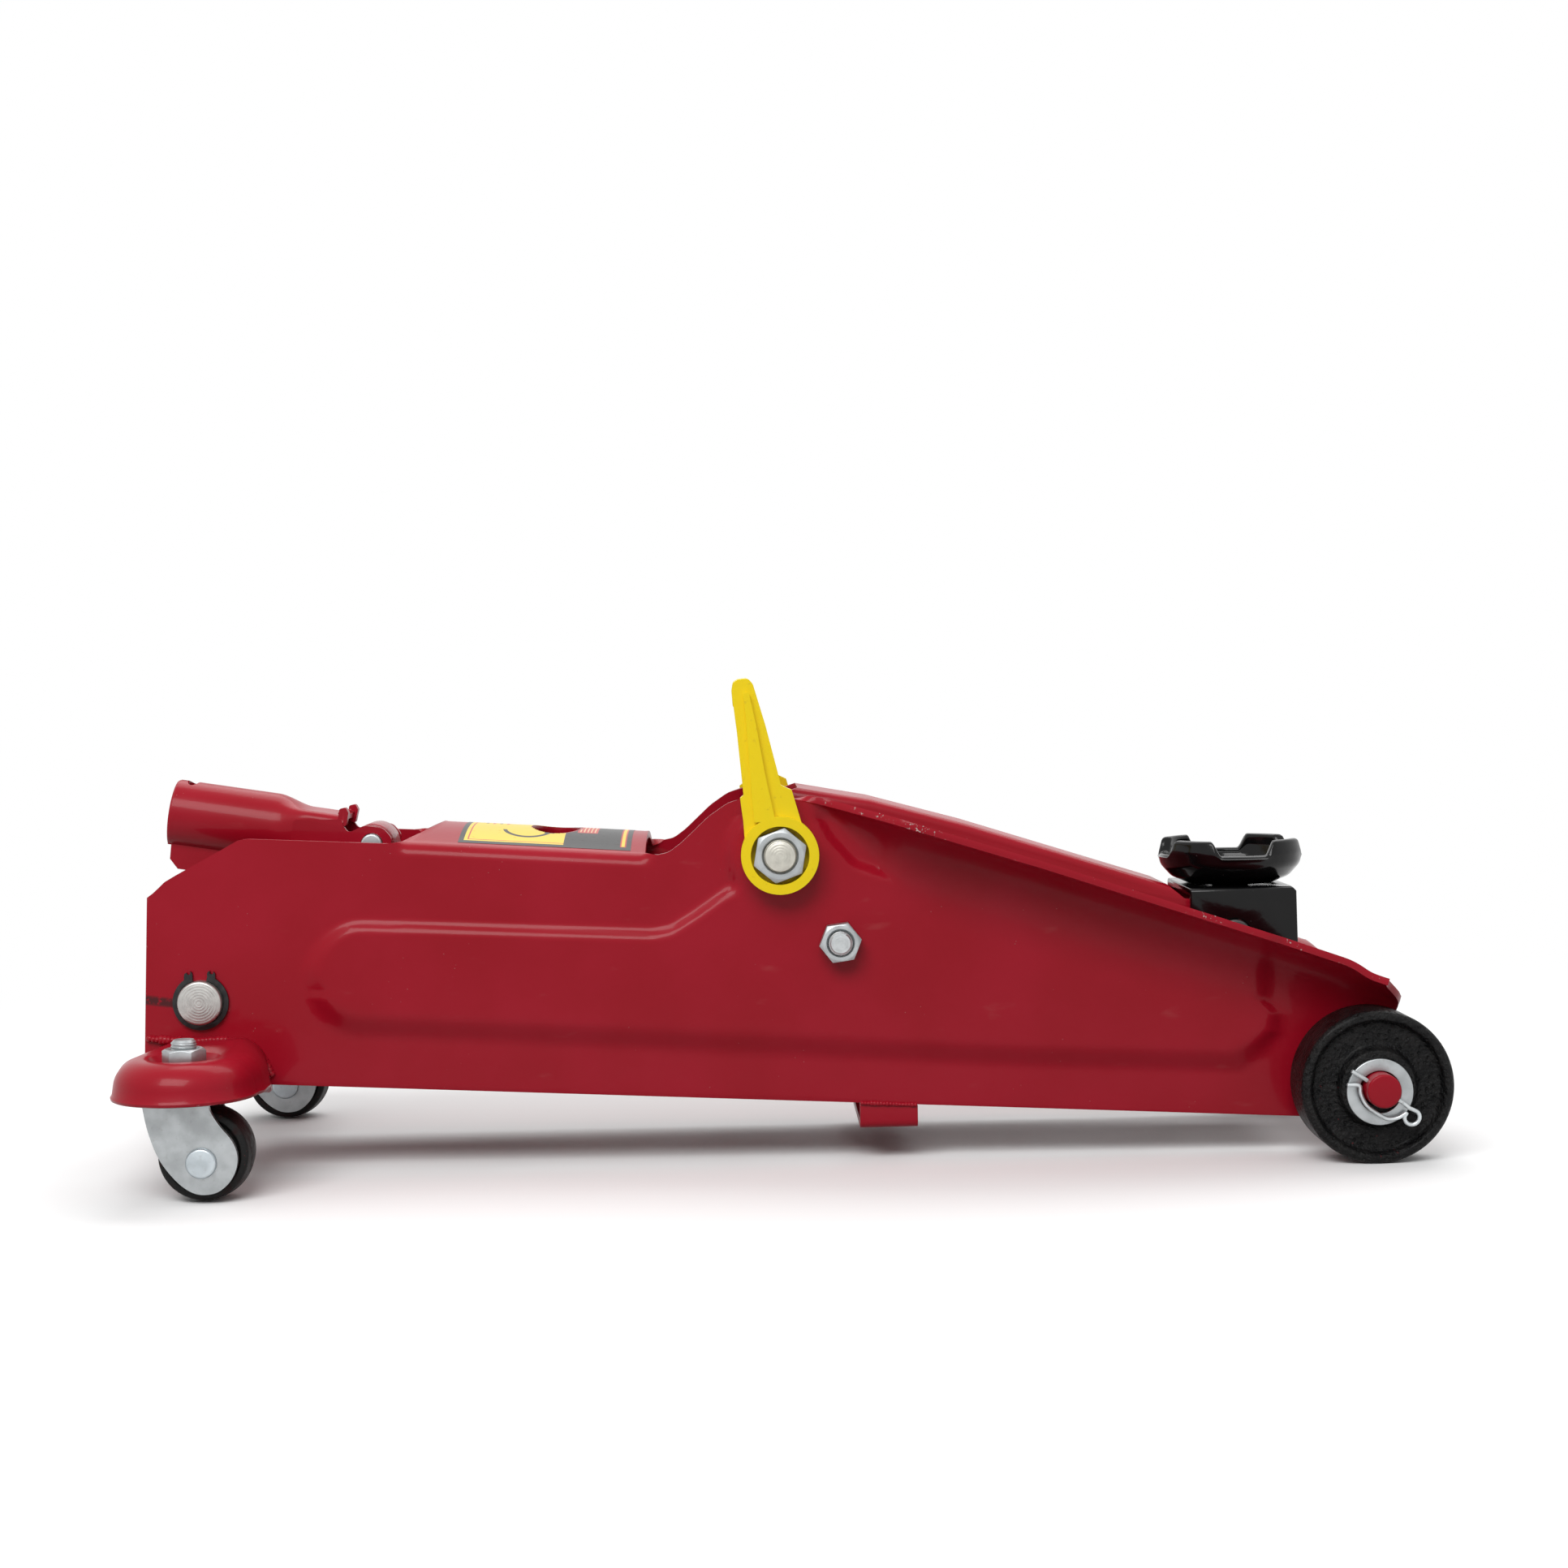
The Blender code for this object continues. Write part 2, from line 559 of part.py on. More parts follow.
def make_arm():
    outline = arm_outline()
    half, inner = ARM_HALF_WIDTH, ARM_HALF_WIDTH - ARM_WALL
    arm = prism("lift_arm", outline, -half, half, "red_paint")
    top = [(x, z - ARM_WALL) for x, z in ARM_TOP]
    room = [(-60.0, 200.0), (ARM_TOP[0][0], 200.0)] + top
    room += [(172.0, 200.0), (240.0, 200.0), (240.0, 40.0), (-60.0, 40.0)]
    combine(arm, prism("arm_room", room, -inner, inner))
    for name, centre, radius in (("hub", HUB, 12.0), ("ram", RAM_PIN, RAM_PIN_RADIUS),
                                 ("end", ARM_PIN, ARM_PIN_RADIUS)):
        combine(arm, rod("arm_hole_" + name, centre, radius + GAP, -half - 5, half + 5))
    reach = FRAME_HALF_WIDTH + PANEL_RISE - SHEET - GAP
    sleeve = [(HUB_RADIUS + GAP, reach), (12.0, reach), (12.0, -reach), (HUB_RADIUS + GAP, -reach)]
    turned("hub_sleeve", sleeve, (HUB[0], 0, HUB[1]), "dark_steel", "-Y", 16)
    rod("ram_cross_pin", RAM_PIN, RAM_PIN_RADIUS, -half, half, "dark_steel")
    rod("arm_end_pin", ARM_PIN, ARM_PIN_RADIUS, -LINK_INNER + 0.5, LINK_INNER - 0.5, "zinc")


def make_hub():
    raised = FRAME_HALF_WIDTH + PANEL_RISE
    rod("pivot_bolt", HUB, HUB_RADIUS, -raised - 14.5, raised + 14.5, "zinc")
    for side, sign in SIDES:
        start = raised + 0.5 + 3.0 + GAP
        nut = rod("pivot_nut_" + side, HUB, 21 / math.sqrt(3), *side_span(sign, start, start + 7.5), "zinc",
                  sides=6, turn=20)
        combine(nut, rod("pivot_nut_bore_" + side, HUB, HUB_RADIUS + GAP, *side_span(sign, 40, 90)))


def make_links():
    raised = FRAME_HALF_WIDTH + PANEL_RISE
    slope = math.degrees(math.atan2(LINK_PIN[1] - LINK_ANCHOR[1], LINK_PIN[0] - LINK_ANCHOR[0]))
    half = LINK_WIDTH / 2
    bar = arc(LINK_ANCHOR, half, slope + 270, slope + 90, 8) + arc(LINK_PIN, half, slope + 90, slope - 90, 8)
    for side, sign in SIDES:
        link = prism("link_bar_" + side, bar, *side_span(sign, LINK_INNER, LINK_OUTER), "dark_steel")
        span = side_span(sign, LINK_INNER - 5, LINK_OUTER + 5)
        combine(link, rod("link_rear_bore_" + side, LINK_ANCHOR, BOLT_RADIUS + GAP, *span))
        combine(link, rod("link_front_bore_" + side, LINK_PIN, LINK_PIN_RADIUS + GAP, *span))
        axis = "-Y" if sign < 0 else "+Y"
        head, collar, end = LINK_INNER - GAP, LINK_OUTER + GAP, raised + 10.3
        wall = raised - SHEET - GAP
        bolt = [(0, end), (BOLT_RADIUS, end), (BOLT_RADIUS, wall), (8.0, wall), (8.0, collar),
                (BOLT_RADIUS, collar), (BOLT_RADIUS, head), (8.5, head), (8.5, head - 4.4), (0, head - 4.4)]
        turned("anchor_bolt_" + side, bolt, (LINK_ANCHOR[0], 0, LINK_ANCHOR[1]), "zinc", axis, 16)
        nut = rod("anchor_nut_" + side, LINK_ANCHOR, 16 / math.sqrt(3),
                  *side_span(sign, raised + GAP, raised + GAP + 8), "zinc", sides=6, turn=8)
        combine(nut, rod("anchor_nut_bore_" + side, LINK_ANCHOR, BOLT_RADIUS + GAP, *side_span(sign, 50, 80)))
    rod("link_pin", LINK_PIN, LINK_PIN_RADIUS, -LINK_OUTER - 2, LINK_OUTER + 2, "dark_steel")


STEM_RADIUS = 8.0


def bracket_outline():
    low = arc(LINK_PIN, 9.6, 20, -150, 8)
    return [(181.4, BRACKET_TOP), (224.5, BRACKET_TOP), (229.1, 108.1)] + low + [(188.0, 80.0), (181.4, 90.0)]


def make_saddle():
    half, inner = BRACKET_HALF_WIDTH, BRACKET_HALF_WIDTH - BRACKET_WALL
    bracket = prism("saddle_bracket", bracket_outline(), -half, half, "black_gloss")
    top = BRACKET_TOP - BRACKET_WALL
    room = [(170.0, top), (250.0, top), (250.0, 30.0), (170.0, 30.0)]
    combine(bracket, prism("bracket_room", room, -inner, inner))
    combine(bracket, rod("bracket_arm_bore", ARM_PIN, ARM_PIN_RADIUS + GAP, -half - 5, half + 5))
    combine(bracket, rod("bracket_link_bore", LINK_PIN, LINK_PIN_RADIUS + GAP, -half - 5, half + 5))
    combine(bracket, rod("bracket_stem_bore", (SADDLE_X, 0), STEM_RADIUS + GAP, 100, 125, axis="Z"))
    rim, bottom, radius = SADDLE_RIM, BRACKET_TOP + GAP, SADDLE_RADIUS
    cup = [(0, bottom + 4), (17, bottom + 4), (25.5, bottom + 8), (27.5, rim - 5), (27.2, rim),
           (radius - 1.4, rim), (radius, rim - 5), (radius - 0.6, rim - 11), (radius - 5, bottom + 4),
           (19.5, bottom), (STEM_RADIUS, bottom), (STEM_RADIUS, 103.0), (0, 103.0)]
    saddle = turned("saddle_cup", cup, (SADDLE_X, 0, 0), "black_gloss", "Z", 32)
    for i in range(2):
        notch = prism("saddle_notch_%d" % i, [(-12.3, rim + 1), (12.3, rim + 1), (10.0, rim - 6.3),
                                              (-10.0, rim - 6.3)], -50, 50)
        notch.location = (SADDLE_X * MM, 0, 0)
        notch.rotation_euler = (0, 0, math.radians(2 + 90 * i))
        combine(saddle, notch)
    ring = [(STEM_RADIUS + GAP, 110.6), (12.5, 110.6), (12.5, 108.8), (STEM_RADIUS + GAP, 108.8)]
    turned("saddle_retaining_ring", ring, (SADDLE_X, 0, 0), "dark_steel", "Z", 24)


# ---- Hydraulic unit ------------------------------------------------------------------------------

GLAND_TOP = BLOCK_TOP + 5.0
HEAD_TOP = SOCKET_PIVOT[1] - 7.0 - ROLLER_RADIUS - GAP
ROLLER = (PLUNGER_X, SOCKET_PIVOT[1] - 7.0)


def block_outline():
    lug = arc(REAR_PIN, 15.0, 110, 250, 7)
    rear = VALVE_SEAT_X
    return [(-224.0, BLOCK_TOP), (rear, BLOCK_TOP - 2), (rear, 92.0)] + lug + [(rear, 60.0),
            (TUBE_REAR, 60.0), (TUBE_REAR, BLOCK_TOP)]


def make_pump():
    block = prism("pump_block", block_outline(), -BLOCK_HALF_WIDTH, BLOCK_HALF_WIDTH, "red_paint")
    ear = [(-197.0, BLOCK_TOP - 2)] + arc(SOCKET_PIVOT, 9.0, 170, 10, 8) + [(-165.0, BLOCK_TOP - 2)]
    combine(block, prism("block_ear", ear, -12, 12), "UNION")
    combine(block, rod("block_pin_bore", REAR_PIN, REAR_PIN_RADIUS + GAP, -40, 40))
    combine(block, rod("block_pivot_bore", SOCKET_PIVOT, SOCKET_PIN_RADIUS + GAP, -20, 20))
    combine(block, rod("block_pump_bore", (PLUNGER_X, 0), PLUNGER_RADIUS + RUN, 78, 130, axis="Z"))
    combine(block, rod("block_valve_bore", (0, VALVE_HEIGHT), VALVE_RADIUS + RUN, VALVE_SEAT_X - 5,
                       VALVE_SEAT_X + VALVE_DEPTH + 2, axis="X"))
    combine(block, rod("block_plug_bore", OVERLOAD_PLUG, 5.0 + GAP, -40, -BLOCK_HALF_WIDTH + 8))
    rod("socket_pivot_pin", SOCKET_PIVOT, SOCKET_PIN_RADIUS, -SOCKET_HALF_WIDTH - 2, SOCKET_HALF_WIDTH + 2,
        "zinc")
    pin_end = FRAME_HALF_WIDTH + 5.4
    rod("rear_pin", REAR_PIN, REAR_PIN_RADIUS, -pin_end, pin_end, "zinc")
    gland = [(PLUNGER_RADIUS + RUN, GLAND_TOP), (9.4, GLAND_TOP), (9.4, BLOCK_TOP + GAP),
             (PLUNGER_RADIUS + RUN, BLOCK_TOP + GAP)]
    turned("plunger_gland", gland, (PLUNGER_X, 0, 0), "zinc", "Z", 16)
    head = [(0, HEAD_TOP), (9.5, HEAD_TOP), (9.5, HEAD_TOP - 3), (PLUNGER_RADIUS, HEAD_TOP - 3),
            (PLUNGER_RADIUS, 80.0), (0, 80.0)]
    turned("pump_plunger", head, (PLUNGER_X, 0, 0), "chrome", "Z", 24)
    plug = rod("overload_plug", OVERLOAD_PLUG, 4.8, -BLOCK_HALF_WIDTH - 1, -BLOCK_HALF_WIDTH + 6, "zinc")
    combine(plug, rod("plug_head", OVERLOAD_PLUG, 7.0, -BLOCK_HALF_WIDTH - 4.5, -BLOCK_HALF_WIDTH - GAP,
                      sides=6), "UNION")


def make_plunger_spring():
    curve = bpy.data.curves.new("plunger_spring", "CURVE")
    curve.dimensions = "3D"
    curve.bevel_depth = 0.8 * MM
    curve.bevel_resolution = 0
    curve.use_fill_caps = True
    low, high = GLAND_TOP + GAP + 0.8, HEAD_TOP - 3 - GAP - 0.8
    turns, steps, radius = 3, 12, 8.2
    line = curve.splines.new("POLY")
    line.points.add(turns * steps)
    for i in range(turns * steps + 1):
        a = 2 * math.pi * i / steps
        rise = low + (high - low) * i / (turns * steps)
        line.points[i].co = (radius * math.cos(a) * MM, radius * math.sin(a) * MM, rise * MM, 1)
    obj = bpy.data.objects.new("plunger_spring", curve)
    JACK.objects.link(obj)
    obj.location = (PLUNGER_X * MM, 0, 0)
    obj.data.materials.append(MATERIALS["dark_steel"])


def make_ram():
    bore = RAM_RADIUS + RUN
    origin = (0, 0, RAM_HEIGHT)
    front, rear = TUBE_FRONT, TUBE_REAR + GAP
    tube = [(bore, front), (TUBE_RADIUS - 3, front), (TUBE_RADIUS, front - 3), (TUBE_RADIUS, rear),
            (bore, rear)]
    turned("reservoir_tube", tube, origin, "red_paint", "X", 24)
    gland = [(bore, front + 10), (17.0, front + 10), (18.5, front + 8), (18.5, front + GAP),
             (bore, front + GAP)]
    turned("ram_gland_nut", gland, origin, "dark_steel", "X", 24)
    face = RAM_PIN[0] - RAM_PIN_RADIUS - RAM_HEAD_GAP
    head = face - 9.0
    rod("ram_rod", (0, RAM_HEIGHT), RAM_RADIUS, TUBE_REAR + 6, head - GAP, "chrome", axis="X", sides=20)
    outline = [(head, RAM_HEIGHT - 12), (head + 3, RAM_HEIGHT - 15), (face, RAM_HEIGHT - 15),
               (face, RAM_HEIGHT + 15), (head + 3, RAM_HEIGHT + 15), (head, RAM_HEIGHT + 12)]
    prism("ram_head", outline, -15, 15, "dark_steel")
    top = RAM_HEIGHT + TUBE_RADIUS
    rod("filler_plug", (HOLE_CENTRE_X, 0), 6.0, top + GAP, top + 6, "rubber_black", axis="Z", sides=20)


def make_release_valve():
    low, collar = VALVE_SEAT_X - 26.0, VALVE_SEAT_X - GAP
    centre = (0, VALVE_HEIGHT)
    spindle = rod("release_valve", centre, VALVE_RADIUS, low, VALVE_SEAT_X + VALVE_DEPTH, "zinc", axis="X")
    combine(spindle, rod("valve_collar", centre, 8.0, collar - 4, collar, axis="X"), "UNION")
    cross = rod("valve_cross", (low + 6, VALVE_HEIGHT), 2.0, -9, 9, sides=12)
    combine(spindle, cross, "UNION")


def make_circlip(side, sign):
    """A retaining ring of C shape with two lugs that stand up from its gap."""
    inner, outer = REAR_PIN_RADIUS + GAP, REAR_PIN_RADIUS + 2.0
    outside = arc((0, 0), outer, 112, 428, 16)
    inside = arc((0, 0), inner, 428, 112, 16)
    lugs = [shift(outside[-1], 0.3, 2.6), shift(inside[0], -0.6, 3.4)]
    tail = [shift(inside[-1], 0.6, 3.4), shift(outside[0], -0.3, 2.6)]
    ring = [shift(p, *REAR_PIN) for p in outside + lugs + inside + tail]
    start = FRAME_HALF_WIDTH + GAP
    prism("circlip_" + side, ring, *side_span(sign, start, start + 1.5), "black_gloss")


# ---- Handle socket -------------------------------------------------------------------------------

SOCKET_PIN_RADIUS = 4.7


def socket_place(obj):
    """Stands a piece, drawn level with +X to the rear, at the pivot on the climbing bore axis."""
    turn = Matrix.Rotation(math.radians(SOCKET_TILT), 4, "Y") @ Matrix.Rotation(math.pi, 4, "Z")
    obj.matrix_world = Matrix.Translation(Vector((SOCKET_PIVOT[0], 0, SOCKET_PIVOT[1])) * MM) @ turn


def make_socket():
    half, inner = SOCKET_HALF_WIDTH, SOCKET_HALF_WIDTH - SOCKET_WALL
    cheek = [(-8.5, -3.0), (-4.0, -8.5), (10.0, -11.0), (14.0, -17.0), (34.0, -17.0), (44.0, -12.0),
             (44.0, 10.0), (28.0, 10.8), (13.5, 10.8), (12.0, 5.0), (4.0, 8.0), (-4.0, 8.0), (-8.5, 4.0)]
    socket = prism("handle_socket", cheek, -half, half, "red_paint")
    room = [(-20.0, 8.4), (46.0, 8.4), (46.0, -30.0), (-20.0, -30.0)]
    pieces = [(prism("socket_room", room, -inner, inner), "DIFFERENCE")]
    outer = rod("socket_tube", (0, 0), SOCKET_RADIUS, SOCKET_NECK - 6, SOCKET_END, axis="X", sides=20)
    pieces.append((outer, "UNION"))
    legs = [(SOCKET_NECK - 4, -13.0), (SOCKET_END - 2, -13.0), (SOCKET_END - 2, -20.0),
            (SOCKET_END - 6, -24.0), (SOCKET_NECK - 4, -24.0)]
    pieces.append((prism("socket_legs", legs, -8.2, 8.2), "UNION"))
    bore = rod("socket_bore", (0, 0), SOCKET_RADIUS - SOCKET_WALL, SOCKET_NECK - 8, SOCKET_END + 5,
               axis="X", sides=20)
    pieces.append((bore, "DIFFERENCE"))
    seam = [(SOCKET_NECK - 8, -10.0), (SOCKET_END + 5, -10.0), (SOCKET_END + 5, -30.0),
            (SOCKET_NECK - 8, -30.0)]
    pieces.append((prism("socket_seam", seam, -6.0, 6.0), "DIFFERENCE"))
    slot = prism("socket_keyhole", [(78.0, -2.6), (82.0, -4.2), (86.5, -3.0), (86.5, -1.0),
                                    (SOCKET_END + 5, -1.0), (SOCKET_END + 5, 1.0), (86.5, 1.0), (86.5, 3.0),
                                    (82.0, 4.2), (78.0, 2.6)], 8, 20, axis="Z")
    pieces.append((slot, "DIFFERENCE"))
    pivot = rod("socket_pivot_bore", (0, 0), SOCKET_PIN_RADIUS + GAP, -half - 5, half + 5)
    pieces.append((pivot, "DIFFERENCE"))
    socket_place(socket)
    for piece, operation in pieces:
        socket_place(piece)
        combine(socket, piece, operation)
    reach = half + 1
    combine(socket, rod("socket_roller_bore", ROLLER, 3.0 + GAP, -reach, reach))
    span = SOCKET_HALF_WIDTH - SOCKET_WALL - GAP
    roller = [(0, half + 1), (3.0, half + 1), (3.0, span), (ROLLER_RADIUS, span), (ROLLER_RADIUS, -span),
              (3.0, -span), (3.0, -half - 1), (0, -half - 1)]
    turned("pump_roller", roller, (ROLLER[0], 0, ROLLER[1]), "zinc", "-Y", 16)


# ---- Carry handle --------------------------------------------------------------------------------


def make_carry_handle():
    low = FRAME_HALF_WIDTH + PANEL_RISE + 0.5
    high = low + GRIP_LEG
    ring = arc(HUB, GRIP_RING, 30, -210, 14)
    leg = [shift(HUB, -16.3, 10.0), (-18.0, 161.0), (-16.3, 162.3), (-18.8, 189.0), (-20.8, 207.5),
           (-20.2, 210.8), (-18.0, 211.8), (-14.0, 212.0), (-12.1, 210.0), (-6.5, 191.6), (-0.7, 170.4),
           (1.3, 165.5), (4.4, 163.3), (8.0, 149.9)]
    outline = ring + leg
    handle = prism("carry_handle", outline, -high, -low, "yellow_plastic")
    combine(handle, prism("handle_far_leg", outline, low, high), "UNION")
    grip = [(-20.3, 200.0), (-20.8, 207.5), (-20.2, 210.8), (-18.0, 211.8), (-14.0, 212.0),
            (-12.1, 210.0), (-9.5, 201.5), (-14.5, 199.0)]
    combine(handle, prism("handle_grip", grip, -low - 1, low + 1), "UNION")
    for side, sign in SIDES:
        combine(handle, rod("handle_pocket_" + side, HUB, GRIP_POCKET, *side_span(sign, low + 3, high + 5)))
    combine(handle, rod("handle_bore", HUB, HUB_RADIUS + GAP, -high - 5, high + 5))


make_frame()
make_strap()
make_axle()
make_wheels()
for side_name, side_sign in SIDES:
    make_caster_bracket(side_name, side_sign)
    make_caster(side_name, side_sign)
    make_circlip(side_name, side_sign)
make_arm()
make_hub()
make_links()
make_saddle()
make_pump()
make_plunger_spring()
make_ram()
make_release_valve()
make_socket()
make_carry_handle()
for piece in JACK.objects:
    if piece.type == "MESH":
        piece.data.shade_smooth()
        piece.data.set_sharp_from_angle(angle=math.radians(35))
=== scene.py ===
"""A hydraulic trolley jack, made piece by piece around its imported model, in metres."""

import math

import bmesh
import bpy
import numpy as np
from mathutils import Matrix, Vector


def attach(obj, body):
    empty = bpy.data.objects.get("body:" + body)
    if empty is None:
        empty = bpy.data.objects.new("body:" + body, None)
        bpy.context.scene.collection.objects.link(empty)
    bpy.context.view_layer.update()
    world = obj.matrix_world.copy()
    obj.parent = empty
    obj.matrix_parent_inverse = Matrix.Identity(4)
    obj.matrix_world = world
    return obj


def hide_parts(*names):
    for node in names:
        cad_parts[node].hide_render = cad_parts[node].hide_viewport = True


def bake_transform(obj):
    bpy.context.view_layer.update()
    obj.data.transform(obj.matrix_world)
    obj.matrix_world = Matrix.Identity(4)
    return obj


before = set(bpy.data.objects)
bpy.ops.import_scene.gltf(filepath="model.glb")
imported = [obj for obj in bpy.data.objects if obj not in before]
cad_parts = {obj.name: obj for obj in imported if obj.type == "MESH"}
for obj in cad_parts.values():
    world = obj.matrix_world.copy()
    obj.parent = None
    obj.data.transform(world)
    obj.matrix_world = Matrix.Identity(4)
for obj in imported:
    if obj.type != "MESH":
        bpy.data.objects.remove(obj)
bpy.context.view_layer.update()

# ---- Frame ---------------------------------------------------------------------------------------
# One blank of 3 mm steel, drawn in a press: two side plates with a raised panel, joined behind the
# lift arm by a crowned bridge, and curled outwards along the sloping nose. Sprayed red after welding.

MM = 0.001
HALF_WIDTH = 52.6
SHEET = 3.0
PANEL_RISE = 3.4
FLANGE_REACH = 28.4
SHOULDER = 8.0
HUB = (-1.4, 135.6)
REAR, FRONT = -277.6, 266.0
BRIDGE_REAR, BRIDGE_FRONT = -166.0, -58.5
BRIDGE_TILT, BRIDGE_BOW, TIP_BACK = 0.27, 13.5, 11.5
SLOT_X, SLOT_LENGTH, SLOT_WIDTH = -101.6, 22.0, 44.0
PLATE_FOOT = ((-278.0, 42.6), (224.0, 15.4), (255.0, 13.9), (262.0, 15.5), (266.0, 20.0))
PLATE_HEAD = ((-278.0, 122.0), (-274.5, 124.6), (-270.0, 129.0), (-264.4, 132.2), (-237.0, 146.4),
              (-233.0, 146.9), (-172.0, 143.6), (-166.0, 144.2), (-160.0, 144.0), (-60.0, 136.9),
              (-54.0, 136.2), (-49.5, 137.2), (-44.0, 141.2), (-32.0, 152.4), (-24.0, 157.8),
              (-17.0, 160.2), (-8.0, 160.9), (4.0, 160.0), (11.0, 161.2), (48.0, 151.6),
              (110.0, 131.8), (163.0, 113.8), (205.0, 99.6), (240.0, 87.2), (266.0, 77.5))
FLANGE_START, FLANGE_FULL = 6.0, 58.0
CURL_START, CURL_REACH = 244.0, 20.0


def smooth_step(low, high, value):
    t = np.clip((np.asarray(value, float) - low) / (high - low), 0, 1)
    return t * t * (3 - 2 * t)


def through(pairs, x):
    return np.interp(x, [p[0] for p in pairs], [p[1] for p in pairs])


def arc(centre, radius, start, end, count):
    """Points on an arc, from one angle to another in degrees."""
    angles = np.radians(np.linspace(start, end, count))
    return [(centre[0] + radius * math.cos(a), centre[1] + radius * math.sin(a)) for a in angles]


def inside_distance(outline, x, z):
    """Distance from each point to a closed outline, positive inside it."""
    corners = np.array(outline)
    nexts = np.roll(corners, -1, axis=0)
    nearest = np.full(x.shape, 1e9)
    inside = np.zeros(x.shape, bool)
    for (ax, az), (bx, bz) in zip(corners, nexts):
        length = (bx - ax) ** 2 + (bz - az) ** 2
        t = np.clip(((x - ax) * (bx - ax) + (z - az) * (bz - az)) / length, 0, 1)
        nearest = np.minimum(nearest, np.hypot(x - ax - t * (bx - ax), z - az - t * (bz - az)))
        crosses = (az > z) != (bz > z)
        with np.errstate(divide="ignore", invalid="ignore"):
            inside ^= crosses & (x < (bx - ax) * (z - az) / (bz - az) + ax)
    return np.where(inside, nearest, -nearest)


def panel_outline():
    left = arc((-184.0, 84.5), 26.5, 262, 97, 14)
    waist = [(-58.0, 104.2), (-50.0, 105.6), (-40.0, 111.6), (-24.0, 122.5)]
    boss = arc(HUB, 25.0, 212, 20, 12)
    slope = [(32.0, 132.5), (60.0, 123.0), (157.0, 91.5), (190.0, 80.5), (206.0, 73.0), (216.0, 62.0)]
    nose = [(217.5, 52.0), (210.0, 42.0), (199.0, 34.0), (103.0, 38.6), (-120.0, 54.0)]
    return left + waist + boss + slope + nose


def panel_height(x, z):
    """How far the plate stands out: a wide draft below and to the rear, a tight one above."""
    depth = inside_distance(panel_outline(), x, z)
    middle = through(((-210, 84), (-60, 76), (60, 82), (215, 56)), x)
    draft = 4.5 + 8.0 * smooth_step(8, -16, z - middle)
    draft = draft + 4.0 * smooth_step(-180, -205, x) * (draft < 9)
    boss = smooth_step(0, 2.2, 22.6 - np.hypot(x - HUB[0], z - HUB[1]))
    return PANEL_RISE * smooth_step(0, 1, depth / draft) + 0.35 * boss


def frame_grid():
    """The outer skin of the near half: plate rows, then edge rows that curl out or over, then the bridge."""
    columns = np.concatenate([np.linspace(REAR, -170, 44), np.linspace(-168.5, -152, 12),
                              np.linspace(-149, -62, 34), np.linspace(-60, -4, 30),
                              np.linspace(-1, 60, 28), np.linspace(63, 240, 64),
                              np.linspace(242, FRONT, 16)])
    plate_rows, edge_rows, bridge_rows = 52, 14, 14
    over = smooth_step(BRIDGE_REAR - 3, BRIDGE_REAR + 3, columns) * smooth_step(-56.5, -61.5, columns)
    out = smooth_step(FLANGE_START, FLANGE_FULL, columns) * FLANGE_REACH
    rise = np.maximum(7.0, out)
    reach = out - SHOULDER * over
    sweep = math.pi / 2 - BRIDGE_TILT * over
    head = through(PLATE_HEAD, columns) - SHEET * smooth_step(2, 12, columns)
    base = head - rise * np.sin(sweep)
    foot = through(PLATE_FOOT, columns)
    t = np.linspace(0, 1, plate_rows)[:, None]
    x = np.repeat(columns[None, :], plate_rows, 0)
    z = foot + (base - foot) * t
    y = HALF_WIDTH + panel_height(x, z)
    u = np.linspace(0, 1, edge_rows + 1)[1:, None] * sweep
    edge_x = np.repeat(columns[None, :], edge_rows, 0)
    edge_y = HALF_WIDTH + reach * (1 - np.cos(u)) + panel_height(edge_x, base + 0 * u)
    edge_z = base + rise * np.sin(u)
    x, y, z = (np.concatenate(pair) for pair in ((x, edge_x), (y, edge_y), (z, edge_z)))
    nose = np.clip((x - CURL_START) / (FRONT - CURL_START), 0, 1)
    curl = CURL_REACH * (1 - np.sqrt(1 - 0.96 * nose ** 2)) * smooth_step(57, 72, z)
    y = HALF_WIDTH + np.cbrt((y - HALF_WIDTH) ** 3 + curl ** 3)
    x = x + 0.043 * (z - 84) * smooth_step(-205, REAR, x)
    back = TIP_BACK * smooth_step(64, 78, z) * smooth_step(236, FRONT, x)
    x, z = x - back, z + 0.13 * back
    v = np.linspace(0, 1, bridge_rows + 1)[1:, None]
    low_y, low_z = y[-1], z[-1]
    bridge_y = low_y * (1 - v)
    bow = BRIDGE_BOW * (1 - (bridge_y / low_y) ** 2) * np.clip(1 - (columns - BRIDGE_REAR) / 34, 0, 1)
    bridge_x = columns + bow
    bridge_z = np.interp(bridge_x, columns, low_z) + 0.5 * BRIDGE_TILT * low_y * (1 - (1 - v) ** 2)
    x = np.concatenate([x, bridge_x])
    y, z = np.concatenate([y, bridge_y]), np.concatenate([z, bridge_z])
    bridged = (columns >= BRIDGE_REAR) & (columns <= BRIDGE_FRONT - 1)
    solid_rows = plate_rows + edge_rows
    return x, y, z, bridged, solid_rows


def grid_mesh(name, x, y, z, keep):
    """A quad sheet from coordinate grids, with only the faces where keep is true."""
    rows, count = x.shape
    points = np.stack([x, y, z], -1).reshape(-1, 3) * MM
    faces = []
    for i in range(rows - 1):
        for j in range(count - 1):
            if keep[i, j]:
                a = i * count + j
                faces.append((a, a + 1, a + count + 1, a + count))
    mesh = bpy.data.meshes.new(name)
    mesh.from_pydata([tuple(p) for p in points], [], faces)
    return mesh


